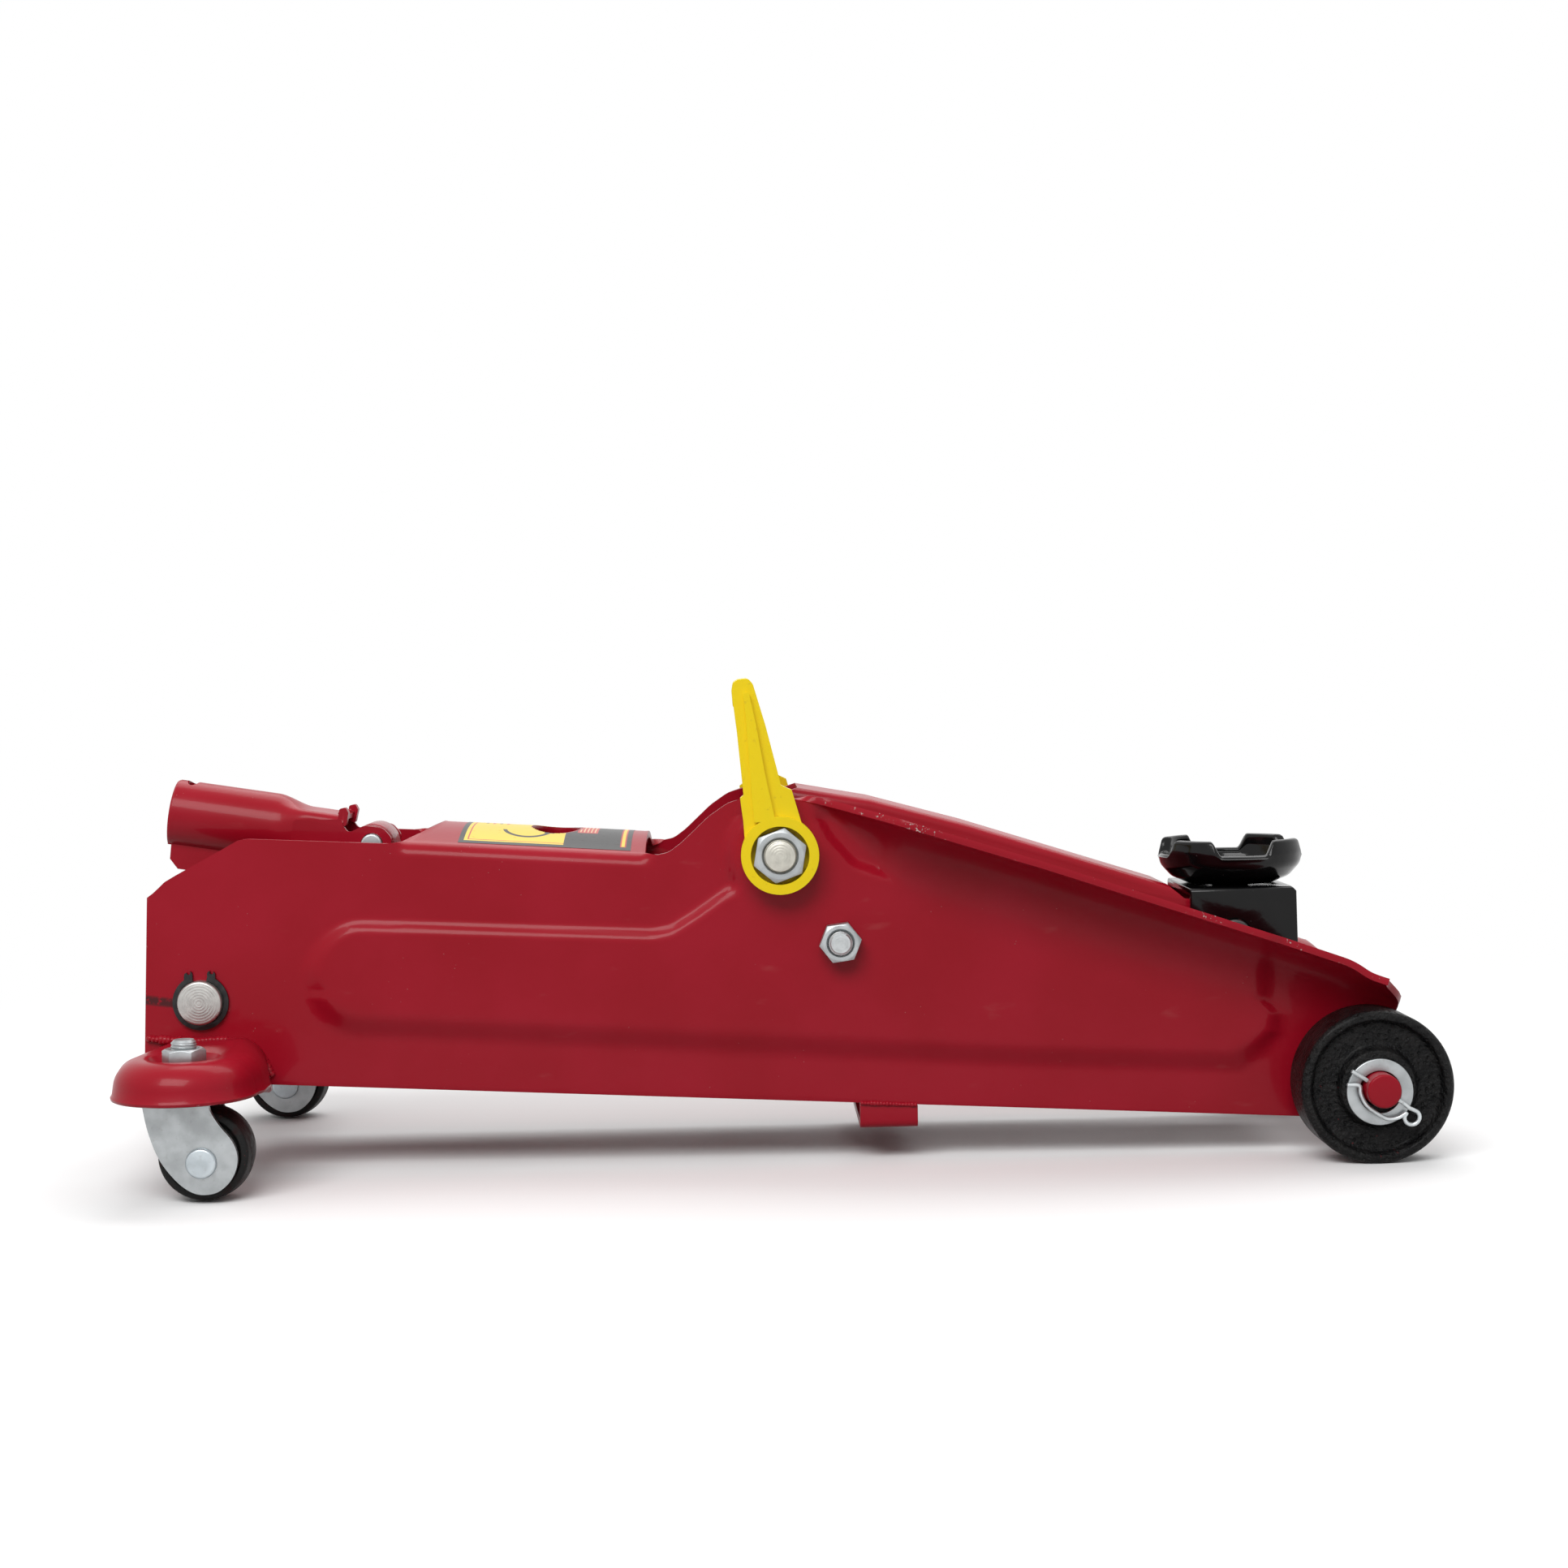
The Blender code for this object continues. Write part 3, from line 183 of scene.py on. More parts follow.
def clean(mesh, outwards=True):
    """Merges doubles, drops loose points and turns the faces out."""
    work = bmesh.new()
    work.from_mesh(mesh)
    bmesh.ops.remove_doubles(work, verts=work.verts, dist=1e-6)
    bmesh.ops.delete(work, geom=[v for v in work.verts if not v.link_faces], context="VERTS")
    if outwards:
        bmesh.ops.recalc_face_normals(work, faces=work.faces)
    work.to_mesh(mesh)
    work.free()


def add_piece(name, mesh, material, angle=35):
    """A new object from a mesh whose points are already in place, shaded smooth up to an angle."""
    piece = bpy.data.objects.new(name, mesh)
    bpy.context.scene.collection.objects.link(piece)
    mesh.materials.clear()
    mesh.materials.append(material)
    mesh.shade_smooth()
    mesh.set_sharp_from_angle(angle=math.radians(angle))
    return piece


def add_solid(name, work, material, angle=35):
    """A new object from a closed bmesh, with its faces turned out."""
    bmesh.ops.recalc_face_normals(work, faces=work.faces)
    mesh = bpy.data.meshes.new(name)
    work.to_mesh(mesh)
    work.free()
    return add_piece(name, mesh, material, angle)


def settle(piece, angle=35, outwards=True):
    """Turns an object and its modifiers into one plain mesh at the origin."""
    graph = bpy.context.evaluated_depsgraph_get()
    mesh = bpy.data.meshes.new_from_object(piece.evaluated_get(graph))
    mesh.transform(piece.matrix_world)
    piece.modifiers.clear()
    if piece.type != "MESH":
        name, materials = piece.name, list(piece.data.materials)
        bpy.data.objects.remove(piece)
        piece = bpy.data.objects.new(name, mesh)
        bpy.context.scene.collection.objects.link(piece)
        mesh.materials.clear()
        mesh.materials.append(materials[0])
    else:
        piece.data = mesh
    piece.matrix_world = Matrix.Identity(4)
    clean(mesh, outwards)
    mesh.shade_smooth()
    mesh.set_sharp_from_angle(angle=math.radians(angle))
    return piece


def fit(piece, body, slot, *nodes):
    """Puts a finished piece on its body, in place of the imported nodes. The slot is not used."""
    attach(piece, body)
    if nodes:
        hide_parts(*nodes)
    return piece


def soften(piece, width, segments=2, angle=30):
    bevel = piece.modifiers.new("soften", "BEVEL")
    bevel.width = width * MM
    bevel.segments = segments
    bevel.limit_method = "ANGLE"
    bevel.angle_limit = math.radians(angle)
    bevel.harden_normals = False


class Wire:
    """A shader socket in a sum: arithmetic on it adds Math nodes."""

    def __init__(self, shader, socket):
        self.shader = shader
        self.socket = socket

    def sum(self, operation, *terms):
        return self.shader.node("ShaderNodeMath", {"operation": operation}, dict(enumerate(terms)))

    def __add__(self, other):
        return self.sum("ADD", self, other)

    def __sub__(self, other):
        return self.sum("SUBTRACT", self, other)

    def __rsub__(self, other):
        return self.sum("SUBTRACT", other, self)

    def __mul__(self, other):
        return self.sum("MULTIPLY", self, other)

    def __lt__(self, other):
        return self.sum("LESS_THAN", self, other)

    def __gt__(self, other):
        return self.sum("GREATER_THAN", self, other)

    __radd__ = __add__
    __rmul__ = __mul__

    def root(self):
        return self.sum("SQRT", self)

    def sine(self):
        return self.sum("SINE", self)

    def largest(self, other):
        return self.sum("MAXIMUM", self, other)

    def beside(self, output):
        """Another output of the same node."""
        return Wire(self.shader, self.socket.node.outputs[output])

    def ramp(self, low, high):
        """0 below low and 1 above high, eased between them."""
        settings = {"interpolation_type": "SMOOTHSTEP"}
        return self.shader.node("ShaderNodeMapRange", settings, {0: self, 1: low, 2: high})


class Shader:
    """A finish, or another lit thing with a node tree, whose nodes are made by one method."""

    def __init__(self, name, made=None):
        self.material = made or bpy.data.materials.new(name)
        self.material.use_nodes = True
        self.tree = self.material.node_tree
        self.surface = self.tree.nodes.get("Principled BSDF")
        self.place = self.node("ShaderNodeTexCoord", {}, {}, "Object")

    def node(self, kind, settings, sockets, output=0):
        made = self.tree.nodes.new(kind)
        for name, value in settings.items():
            setattr(made, name, value)
        for name, value in sockets.items():
            self.join(made.inputs[name], value)
        return Wire(self, made.outputs[output])

    def join(self, socket, value):
        if isinstance(value, Wire):
            self.tree.links.new(value.socket, socket)
        else:
            socket.default_value = value

    def stretch(self, scale):
        """The object's coordinates, scaled unequally for streaks and brushing."""
        return self.node("ShaderNodeMapping", {}, {"Vector": self.place, "Scale": scale})

    def noise(self, size, detail=3.0, place=None):
        """Noise whose features measure about size, in millimetres."""
        sockets = {"Vector": place or self.place, "Scale": 1 / (size * MM), "Detail": detail}
        return self.node("ShaderNodeTexNoise", {}, sockets)

    def cells(self, size):
        """Distance to scattered points that lie about size apart, in millimetres."""
        return self.node("ShaderNodeTexVoronoi", {}, {"Vector": self.place, "Scale": 1 / (size * MM)})

    def blend(self, factor, first, second):
        """Colour first where factor is 0 and second where it is 1."""
        made = self.tree.nodes.new("ShaderNodeMix")
        made.data_type = "RGBA"
        for name, value in ((0, factor), (6, first), (7, second)):
            self.join(made.inputs[name], value)
        return Wire(self, made.outputs[2])

    def mark(self, name):
        """A number painted on the mesh's points."""
        return self.node("ShaderNodeAttribute", {"attribute_name": name}, {}, "Fac")

    def relief(self, height, depth):
        """Surface relief, with depth in millimetres."""
        return self.node("ShaderNodeBump", {}, {"Height": height, "Distance": depth * MM, "Strength": 1.0})

    def dress(self, **sockets):
        for name, value in sockets.items():
            self.join(self.surface.inputs[name.replace("_", " ")], value)
        return self.material


def colour(red, green, blue):
    return (red, green, blue, 1.0)


SMEAR_X, SMEAR_Z, SMEAR_SLOPE = -253.8, 74.5, -0.14


def red_paint(name, chipped=False):
    """Sprayed enamel: faint orange peel, cloudy thickness and dust nibs. On the frame it also has nicks
    along its edges and a dark smear behind the rear pin."""
    shader = Shader(name)
    cloud = shader.noise(55, 4)
    streak = shader.noise(9, 3, shader.stretch((0.35, 1.0, 1.0)))
    nibs = shader.cells(3.4)
    nib = 1 - nibs.ramp(0.035, 0.075)
    rare = shader.noise(16, 2).ramp(0.56, 0.64)
    deep, pale = colour(0.3, 0.0034, 0.0125), colour(0.335, 0.0058, 0.0185)
    paint = shader.blend(cloud.ramp(0.3, 0.72), deep, pale)
    paint = shader.blend(nib * rare * 0.55, paint, colour(0.5, 0.2, 0.19))
    scuff = streak.ramp(0.66, 0.8) * 0.16
    paint = shader.blend(scuff, paint, colour(0.42, 0.12, 0.11))
    roughness = 0.27 + cloud * 0.1 + scuff * 0.6
    bump = shader.noise(1.9, 2) * 0.28 + cloud * 0.5 + nib * rare * 0.8
    if chipped:
        # a patchy dark band along a line through the rear pin, on the plate behind it
        split = shader.node("ShaderNodeSeparateXYZ", {}, {"Vector": shader.place})
        up = split.beside("Z")
        line = up - SMEAR_Z * MM - (split - SMEAR_X * MM) * SMEAR_SLOPE
        smear = (1 - (line * line).ramp(0.8e-6, 7e-6)) * (1 - split.ramp(-0.266, -0.258))
        smear = smear * shader.noise(2.2, 4).ramp(0.3, 0.48)
        paint = shader.blend(smear * 0.85, paint, colour(0.03, 0.012, 0.013))
        chip = shader.mark("edge").ramp(0.45, 0.95) * shader.noise(1.5, 4).ramp(0.58, 0.66)
        chip = chip * shader.noise(13, 2).ramp(0.52, 0.6)
        paint = shader.blend(chip, paint, colour(0.55, 0.42, 0.4))
        roughness = roughness + chip * 0.25
        bump = bump - chip * 1.2
    return shader.dress(Base_Color=paint, Roughness=roughness,
                        Specular_IOR_Level=0.11, Coat_Weight=0.13, Coat_Roughness=0.07,
                        Normal=shader.relief(bump, 0.11))


frame_paint = red_paint("frame red enamel", chipped=True)
plain_paint = red_paint("red enamel")

x, y, z, bridged, solid_rows = frame_grid()
keep = np.ones((x.shape[0] - 1, x.shape[1] - 1), bool)
keep[solid_rows - 1:, :] = (bridged[:-1] & bridged[1:])[None, :]
skin = grid_mesh("frame", x, -y, z, keep)
edge = np.zeros(x.shape)
flanged = smooth_step(0, 14, x[0])
edge[solid_rows - 1] = flanged
edge[:solid_rows, -1] = np.maximum(edge[:solid_rows, -1], 0.6 * smooth_step(60, 70, z[:solid_rows, -1]))
edge[:solid_rows, 0] = 0.7
skin.attributes.new("edge", "FLOAT", "POINT").data.foreach_set("value", edge.ravel())
clean(skin, outwards=False)
main_frame = add_piece("frame_pressing", skin, frame_paint)
fold = main_frame.modifiers.new("other_side", "MIRROR")
fold.use_axis = (False, True, False)
fold.merge_threshold = 0.00005
settle(main_frame, outwards=False)
wall = main_frame.modifiers.new("sheet", "SOLIDIFY")
wall.thickness = SHEET * MM
wall.offset = -1
wall.use_even_offset = True
settle(main_frame)
turns = np.linspace(0, 2 * math.pi, 49)[:-1]
slot_cut = bpy.data.meshes.new("slot")
work = bmesh.new()
ring = [work.verts.new(((SLOT_X + 0.5 * SLOT_LENGTH * math.cos(a)) * MM,
                        0.5 * SLOT_WIDTH * math.sin(a) * MM, 0.12)) for a in turns]
face = work.faces.new(ring)
raised = bmesh.ops.extrude_face_region(work, geom=[face])
lifted = [v for v in raised["geom"] if isinstance(v, bmesh.types.BMVert)]
bmesh.ops.translate(work, vec=(0, 0, 0.05), verts=lifted)
bmesh.ops.recalc_face_normals(work, faces=work.faces)
work.to_mesh(slot_cut)
work.free()
cutter = bpy.data.objects.new("slot", slot_cut)
bpy.context.scene.collection.objects.link(cutter)
opening = main_frame.modifiers.new("slot", "BOOLEAN")
opening.operation = "DIFFERENCE"
opening.object = cutter
settle(main_frame)
bpy.data.objects.remove(cutter)
soften(main_frame, 0.5, 2, 50)
settle(main_frame, 50)
fit(main_frame, "frame", "red_paint", "frame")

# ---- Bridge label --------------------------------------------------------------------------------
# A printed vinyl sticker over the crown of the bridge, cut round its slot: a yellow panel with a
# lowering arrow beside a black panel, with plain blocks where the lettering would be.

LABEL_REAR, LABEL_FRONT, LABEL_HALF = -141.7, -66.4, 45.5
LABEL_PROUD = 0.12


def add_label():
    """A thin film laid over the bridge, printed by boxes and an arc in its shader."""
    columns, rows = np.linspace(LABEL_REAR, LABEL_FRONT, 76), np.linspace(-LABEL_HALF, LABEL_HALF, 92)
    grid_x, grid_y = np.meshgrid(columns, rows)
    grid_z = np.zeros(grid_x.shape)
    middle = np.argmin(np.abs(x[0] - SLOT_X))
    ys, zs = y[solid_rows - 1:, middle][::-1], z[solid_rows - 1:, middle][::-1]
    for j, column in enumerate(columns):
        slope = through(PLATE_HEAD, column) - through(PLATE_HEAD, x[0][middle])
        grid_z[:, j] = np.interp(np.abs(rows), ys, zs) + slope + LABEL_PROUD
    round_slot = ((grid_x - SLOT_X) / (SLOT_LENGTH / 2 + 0.9)) ** 2 + (grid_y / (SLOT_WIDTH / 2 + 0.9)) ** 2
    keep = round_slot[:-1, :-1] > 1
    mesh = grid_mesh("bridge_label", grid_x, grid_y, grid_z, keep)
    clean(mesh, outwards=False)
    shader = Shader("printed vinyl")
    split = shader.node("ShaderNodeSeparateXYZ", {}, {"Vector": shader.place})
    across, along = split, split.beside("Y")

    def box(low, high, near, far):
        """1 inside a rectangle of the print, in millimetres along X and from the near edge."""
        side_x = (across > low * MM) * (across < high * MM)
        side_y = (along > (near - LABEL_HALF) * MM) * (along < (far - LABEL_HALF) * MM)
        return side_x * side_y

    ink, yellow = colour(0.012, 0.012, 0.012), colour(0.78, 0.56, 0.035)
    scarlet, cream = colour(0.5, 0.03, 0.025), colour(0.75, 0.6, 0.35)
    print_colour = shader.blend(box(-139.5, -96.0, 3.4, 88.0), ink, yellow)
    for low, high, near, far in ((-138.0, -96.0, 5.0, 5.7), (-138.0, -137.4, 5.0, 86.0),
                                 (-71.2, -68.6, 4.0, 86.0)):
        print_colour = shader.blend(box(low, high, near, far), print_colour, scarlet)
    print_colour = shader.blend(box(-70.6, -69.2, 4.6, 85.4), print_colour, yellow)
    print_colour = shader.blend(box(-91.0, -82.0, 27.0, 64.0), print_colour, scarlet)
    for i in range(5):
        rule = box(-90.0 + 1.6 * i, -89.4 + 1.6 * i, 29.0, 62.0 - 3 * (i % 2))
        print_colour = shader.blend(rule * 0.8, print_colour, cream)
    for i in range(4):
        rule = box(-133.5 + 3.1 * i, -132.3 + 3.1 * i, 46.0 - 2 * (i % 2), 76.0 + 3 * (i % 2))
        print_colour = shader.blend(rule * 0.85, print_colour, scarlet if i % 2 else ink)
    from_x, from_y = across + 113.0 * MM, along + (LABEL_HALF - 29.0) * MM
    away = (from_x * from_x + from_y * from_y * 0.45).root()
    bow = (away > 9.4 * MM) * (away < 11.2 * MM) * (from_y < -2.0 * MM)
    print_colour = shader.blend(bow, print_colour, ink)
    head = box(-105.5, -101.0, 22.0, 28.5)
    print_colour = shader.blend(head, print_colour, ink)
    grime = shader.noise(3.0, 4).ramp(0.6, 0.78) * 0.22
    print_colour = shader.blend(grime, print_colour, colour(0.2, 0.15, 0.12))
    finish = shader.dress(Base_Color=print_colour, Roughness=0.32 + grime, Specular_IOR_Level=0.25,
                          Normal=shader.relief(shader.noise(7.0, 2), 0.05))
    sticker = add_piece("bridge_label", mesh, finish)
    film = sticker.modifiers.new("film", "SOLIDIFY")
    film.thickness = 0.1 * MM
    film.offset = -1
    settle(sticker)
    fit(sticker, "frame", "red_paint")


add_label()

# ---- Cross strap and welds -----------------------------------------------------------------------
# A flat strap bent up at both ends and welded under the plates to keep them apart. The welds are
# short ripples of laid metal, painted over with everything else.

STRAP_REAR, STRAP_FRONT, STRAP_FOOT, STRAP_WALL = 31.5, 56.8, 14.3, 2.6


def loft(name, rings, material, angle=35):
    """A closed solid through rings of equal point counts, in millimetres, capped at both ends."""
    work = bmesh.new()
    rows = [[work.verts.new(Vector(point) * MM) for point in ring] for ring in rings]
    count = len(rows[0])
    for row, other in zip(rows, rows[1:]):
        for i in range(count):
            j = (i + 1) % count
            work.faces.new((row[i], row[j], other[j], other[i]))
    work.faces.new(rows[0])
    work.faces.new(list(reversed(rows[-1])))
    return add_solid(name, work, material, angle)


def rounded(points, radii, steps=5, closed=True):
    """An outline with its corners rounded: one radius for all, or one for each corner."""
    if not isinstance(radii, (list, tuple)):
        radii = [radii] * len(points)
    out = []
    count = len(points)
    for i, (point, radius) in enumerate(zip(points, radii)):
        if radius <= 0 or (not closed and i in (0, count - 1)):
            out.append(tuple(point))
            continue
        here = Vector(point)
        before, after = Vector(points[i - 1]) - here, Vector(points[(i + 1) % count]) - here
        half = before.angle(after) / 2
        reach = min(radius / math.tan(half), before.length * 0.49, after.length * 0.49)
        start, end = here + before.normalized() * reach, here + after.normalized() * reach
        for step in range(steps + 1):
            t = step / steps
            out.append(tuple(start * (1 - t) ** 2 + here * 2 * t * (1 - t) + end * t * t))
    return out


def strap_ring(x):
    half, top, foot = HALF_WIDTH, through(PLATE_FOOT, x) - 0.1, STRAP_FOOT
    inner = half - STRAP_WALL
    corners = [(-half, top), (-half, foot), (half, foot), (half, top), (inner, top),
               (inner, foot + STRAP_WALL), (-inner, foot + STRAP_WALL), (-inner, top)]
    ring = rounded(corners, [0.5, 3.4, 3.4, 0.5, 0.5, 1.0, 1.0, 0.5])
    return [(x, y, z) for y, z in ring]


stations = (STRAP_REAR, STRAP_REAR + 0.4, STRAP_FRONT - 0.4, STRAP_FRONT)
strap = loft("cross_strap_bent", [strap_ring(v) for v in stations], frame_paint)
soften(strap, 0.5)
settle(strap)
fit(strap, "frame", "red_paint", "cross_strap")


def open_tree(name, source, sizes):
    """A node group that takes a geometry, some sizes and a finish, with what adds to it."""
    tree = bpy.data.node_groups.new(name, "GeometryNodeTree")
    face = tree.interface
    face.new_socket(source, in_out="INPUT", socket_type="NodeSocketGeometry")
    for label, value in sizes.items():
        face.new_socket(label, in_out="INPUT", socket_type="NodeSocketFloat").default_value = value
    face.new_socket("Finish", in_out="INPUT", socket_type="NodeSocketMaterial")
    face.new_socket("Mesh", in_out="OUTPUT", socket_type="NodeSocketGeometry")
    return tree, tree.nodes.new, tree.links.new, tree.nodes.new("NodeGroupInput")


def close_tree(tree, given, instances):
    """Makes a node group's instances real, smooth and finished, and puts them out."""
    made, link = tree.nodes.new, tree.links.new
    last = instances
    for kind in ("RealizeInstances", "SetShadeSmooth", "SetMaterial"):
        step = made("GeometryNode" + kind)
        link(last.outputs[0], step.inputs[0])
        last = step
    link(given.outputs["Finish"], last.inputs["Material"])
    link(last.outputs[0], made("NodeGroupOutput").inputs[0])
    return tree


def bead_tree():
    """Overlapping ripples set along a path of edges."""
    tree, made, link, given = open_tree("weld bead", "Path", {"Pitch": 1.3 * MM, "Width": 1.7 * MM})
    curve, spaced = made("GeometryNodeMeshToCurve"), made("GeometryNodeResampleCurve")
    spaced.mode = "LENGTH"
    ripple, place = made("GeometryNodeMeshUVSphere"), made("GeometryNodeInstanceOnPoints")
    ripple.inputs["Segments"].default_value = 10
    ripple.inputs["Rings"].default_value = 6
    wander = made("FunctionNodeRandomValue")
    wander.data_type = "FLOAT_VECTOR"
    wander.inputs[0].default_value = (0.75, 0.75, 0.75)
    wander.inputs[1].default_value = (1.15, 1.15, 1.15)
    wander.inputs["Seed"].default_value = 7
    link(given.outputs["Path"], curve.inputs[0])
    link(curve.outputs[0], spaced.inputs["Curve"])
    link(given.outputs["Pitch"], spaced.inputs["Length"])
    link(given.outputs["Width"], ripple.inputs["Radius"])
    link(spaced.outputs[0], place.inputs["Points"])
    link(ripple.outputs["Mesh"], place.inputs["Instance"])
    link(wander.outputs[0], place.inputs["Scale"])
    return close_tree(tree, given, place)


def grow(name, path, tree, values):
    """Runs a node tree on a path of edges and keeps the plain mesh that it makes."""
    mesh = bpy.data.meshes.new(name)
    points = [tuple(c * MM for c in point) for point in path]
    mesh.from_pydata(points, [(i, i + 1) for i in range(len(points) - 1)], [])
    piece = bpy.data.objects.new(name, mesh)
    bpy.context.scene.collection.objects.link(piece)
    step = piece.modifiers.new("grow", "NODES")
    step.node_group = tree
    for item in tree.interface.items_tree:
        if item.name in values:
            step[item.identifier] = values[item.name]
    graph = bpy.context.evaluated_depsgraph_get()
    made = bpy.data.meshes.new_from_object(piece.evaluated_get(graph))
    piece.modifiers.clear()
    piece.data = made
    made.materials.clear()
    made.materials.append(values["Finish"])
    return piece


weld_bead = bead_tree()
SIDES = (("right", -1), ("left", 1))
for side, sign in SIDES:
    lap = [(v, sign * (HALF_WIDTH + 0.1), through(PLATE_FOOT, v) - 0.2) for v in np.linspace(32.5, 55.8, 12)]
    weld = grow("strap_weld_" + side, lap, weld_bead, {"Width": 1.1 * MM, "Finish": plain_paint})
    fit(weld, "frame", "red_paint")

# ---- Front axle and wheels -----------------------------------------------------------------------
# A round bar through both plates carries two cast iron rollers. Each is held on by a plain washer
# and a wire clip through the end of the bar, which is sprayed red with the frame.

AXLE_X, AXLE_RADIUS, AXLE_END = 250.8, 7.25, 98.4
WHEEL_RADIUS = 32.8
WHEEL_OUTER, WHEEL_WIDTH, WEB_SINK = 88.1, 26.7, 4.6
CLIP_Y, CLIP_WIRE, CLIP_TURN = 92.4, 0.9, 33.0
WASHER_RADIUS, WASHER_HOLE, WASHER_THICK = 14.2, 9.0, 1.6
GAP = 0.3


def lathe(name, profile, centre, axis, material, sides=64, angle=35):
    """Turns (radius, height) points about an axis through centre. A profile with a bore closes on itself."""
    work = bmesh.new()
    closed = min(radius for radius, height in profile) > 1e-6
    turns = [2 * math.pi * i / sides for i in range(sides)]
    frames = {"X": ((0, 1, 0), (0, 0, 1), (1, 0, 0)), "Y": ((0, 0, 1), (1, 0, 0), (0, 1, 0)),
              "Z": ((1, 0, 0), (0, 1, 0), (0, 0, 1))}
    first, second, along = (Vector(v) for v in frames[axis])
    middle = Vector(centre)
    rings = []
    for radius, height in profile:
        if radius < 1e-6:
            rings.append([work.verts.new((middle + along * height) * MM)])
            continue
        rings.append([work.verts.new((middle + along * height + first * radius * math.cos(a)
                                      + second * radius * math.sin(a)) * MM) for a in turns])
    pairs = list(zip(rings, rings[1:])) + ([(rings[-1], rings[0])] if closed else [])
    for row, other in pairs:
        for i in range(sides):
            j = (i + 1) % sides
            corners = [row[i % len(row)], row[j % len(row)], other[j % len(other)], other[i % len(other)]]
            corners = list(dict.fromkeys(corners))
            if len(corners) > 2:
                work.faces.new(corners)
    return add_solid(name, work, material, angle)


def cut(piece, tool, operation="DIFFERENCE"):
    """Cuts a piece with a tool, joins them or keeps what they share, and takes the tool away."""
    step = piece.modifiers.new("cut", "BOOLEAN")
    step.operation = operation
    step.object = tool
    step.solver = "EXACT"
    graph = bpy.context.evaluated_depsgraph_get()
    mesh = bpy.data.meshes.new_from_object(piece.evaluated_get(graph))
    piece.modifiers.clear()
    material = piece.data.materials[0]
    piece.data = mesh
    mesh.materials.clear()
    mesh.materials.append(material)
    mesh.polygons.foreach_set("material_index", [0] * len(mesh.polygons))
    bpy.data.objects.remove(tool)
    return piece


def on_axis(axis, pair):
    """The point of an axis fixed by its XZ for Y, its XY for Z or its YZ for X."""
    return {"Y": (pair[0], 0, pair[1]), "Z": (pair[0], pair[1], 0), "X": (0, *pair)}[axis]


def cylinder(name, pair, radius, low, high, material, axis="Y", sides=48):
    section = [(0, low), (radius, low), (radius, high), (0, high)]
    return lathe(name, section, on_axis(axis, pair), axis, material, sides)


def drill(piece, pair, radius, low, high, axis="Y", sides=48):
    """Bores a round hole between two heights on an axis."""
    return cut(piece, cylinder("bore", pair, radius, low, high, piece.data.materials[0], axis, sides))


def cross_pin(name, pair, radius, reach, rounding, material, sides=48, steps=3):
    """A turned pin that lies across the jack, with its ends rounded off."""
    section = rounded([(0, reach), (radius, reach), (radius, -reach), (0, -reach)],
                      [0, rounding, rounding, 0], steps, closed=False)
    return lathe(name, section, on_axis("Y", pair), "Y", material, sides)


def wire(name, path, radius, material, sides=10):
    """A round wire along a smooth path in millimetres, with domed ends."""
    points = [Vector(p) for p in path]
    work = bmesh.new()
    rows = []
    side = None
    for i, point in enumerate(points):
        ahead = (points[min(i + 1, len(points) - 1)] - points[max(i - 1, 0)]).normalized()
        if side is None:
            side = ahead.orthogonal().normalized()
        side = (side - ahead * side.dot(ahead)).normalized()
        other = ahead.cross(side)
        rows.append([work.verts.new((point + (side * math.cos(a) + other * math.sin(a)) * radius) * MM)
                     for a in (2 * math.pi * k / sides for k in range(sides))])
    for row, after in zip(rows, rows[1:]):
        for k in range(sides):
            j = (k + 1) % sides
            work.faces.new((row[k], row[j], after[j], after[k]))
    for row, point, step in ((rows[0], points[0], points[0] - points[1]),
                             (rows[-1], points[-1], points[-1] - points[-2])):
        tip = work.verts.new((point + step.normalized() * radius * 0.5) * MM)
        for k in range(sides):
            work.faces.new((row[k], row[(k + 1) % sides], tip))
    return add_solid(name, work, material, 60)


def smooth_path(points, count=6):
    """A Catmull-Rom curve through points."""
    pts = [np.array(p, float) for p in points]
    pts = [2 * pts[0] - pts[1]] + pts + [2 * pts[-1] - pts[-2]]
    out = []
    for a, b, c, d in zip(pts, pts[1:], pts[2:], pts[3:]):
        for t in np.linspace(0, 1, count, endpoint=False):
            out.append(0.5 * (2 * b + (c - a) * t + (2 * a - 5 * b + 4 * c - d) * t ** 2
                              + (3 * b - a - 3 * c + d) * t ** 3))
    out.append(pts[-2])
    return [tuple(p) for p in out]


def cast_iron():
    """Sand-cast skin under a brushed coat of black, with overspray from the frame on its high spots."""
    shader = Shader("painted cast iron")
    skin = shader.noise(1.5, 5)
    lumps = shader.noise(7.0, 3)
    pores = 1 - shader.cells(2.6).ramp(0.1, 0.34)
    fleck = shader.noise(2.4, 4).ramp(0.69, 0.72) * shader.noise(22, 2).ramp(0.5, 0.6)
    shade = shader.blend(lumps.ramp(0.35, 0.7), colour(0.0035, 0.0035, 0.0038), colour(0.011, 0.0105, 0.0105))
    shade = shader.blend(fleck * 0.5, shade, colour(0.14, 0.014, 0.018))
    bump = skin * 0.8 + lumps * 0.7 - pores * 0.35
    return shader.dress(Base_Color=shade, Roughness=0.24 + skin * 0.2 + fleck * 0.2,
                        Specular_IOR_Level=0.12, Coat_Weight=0.05, Normal=shader.relief(bump, 1.8))


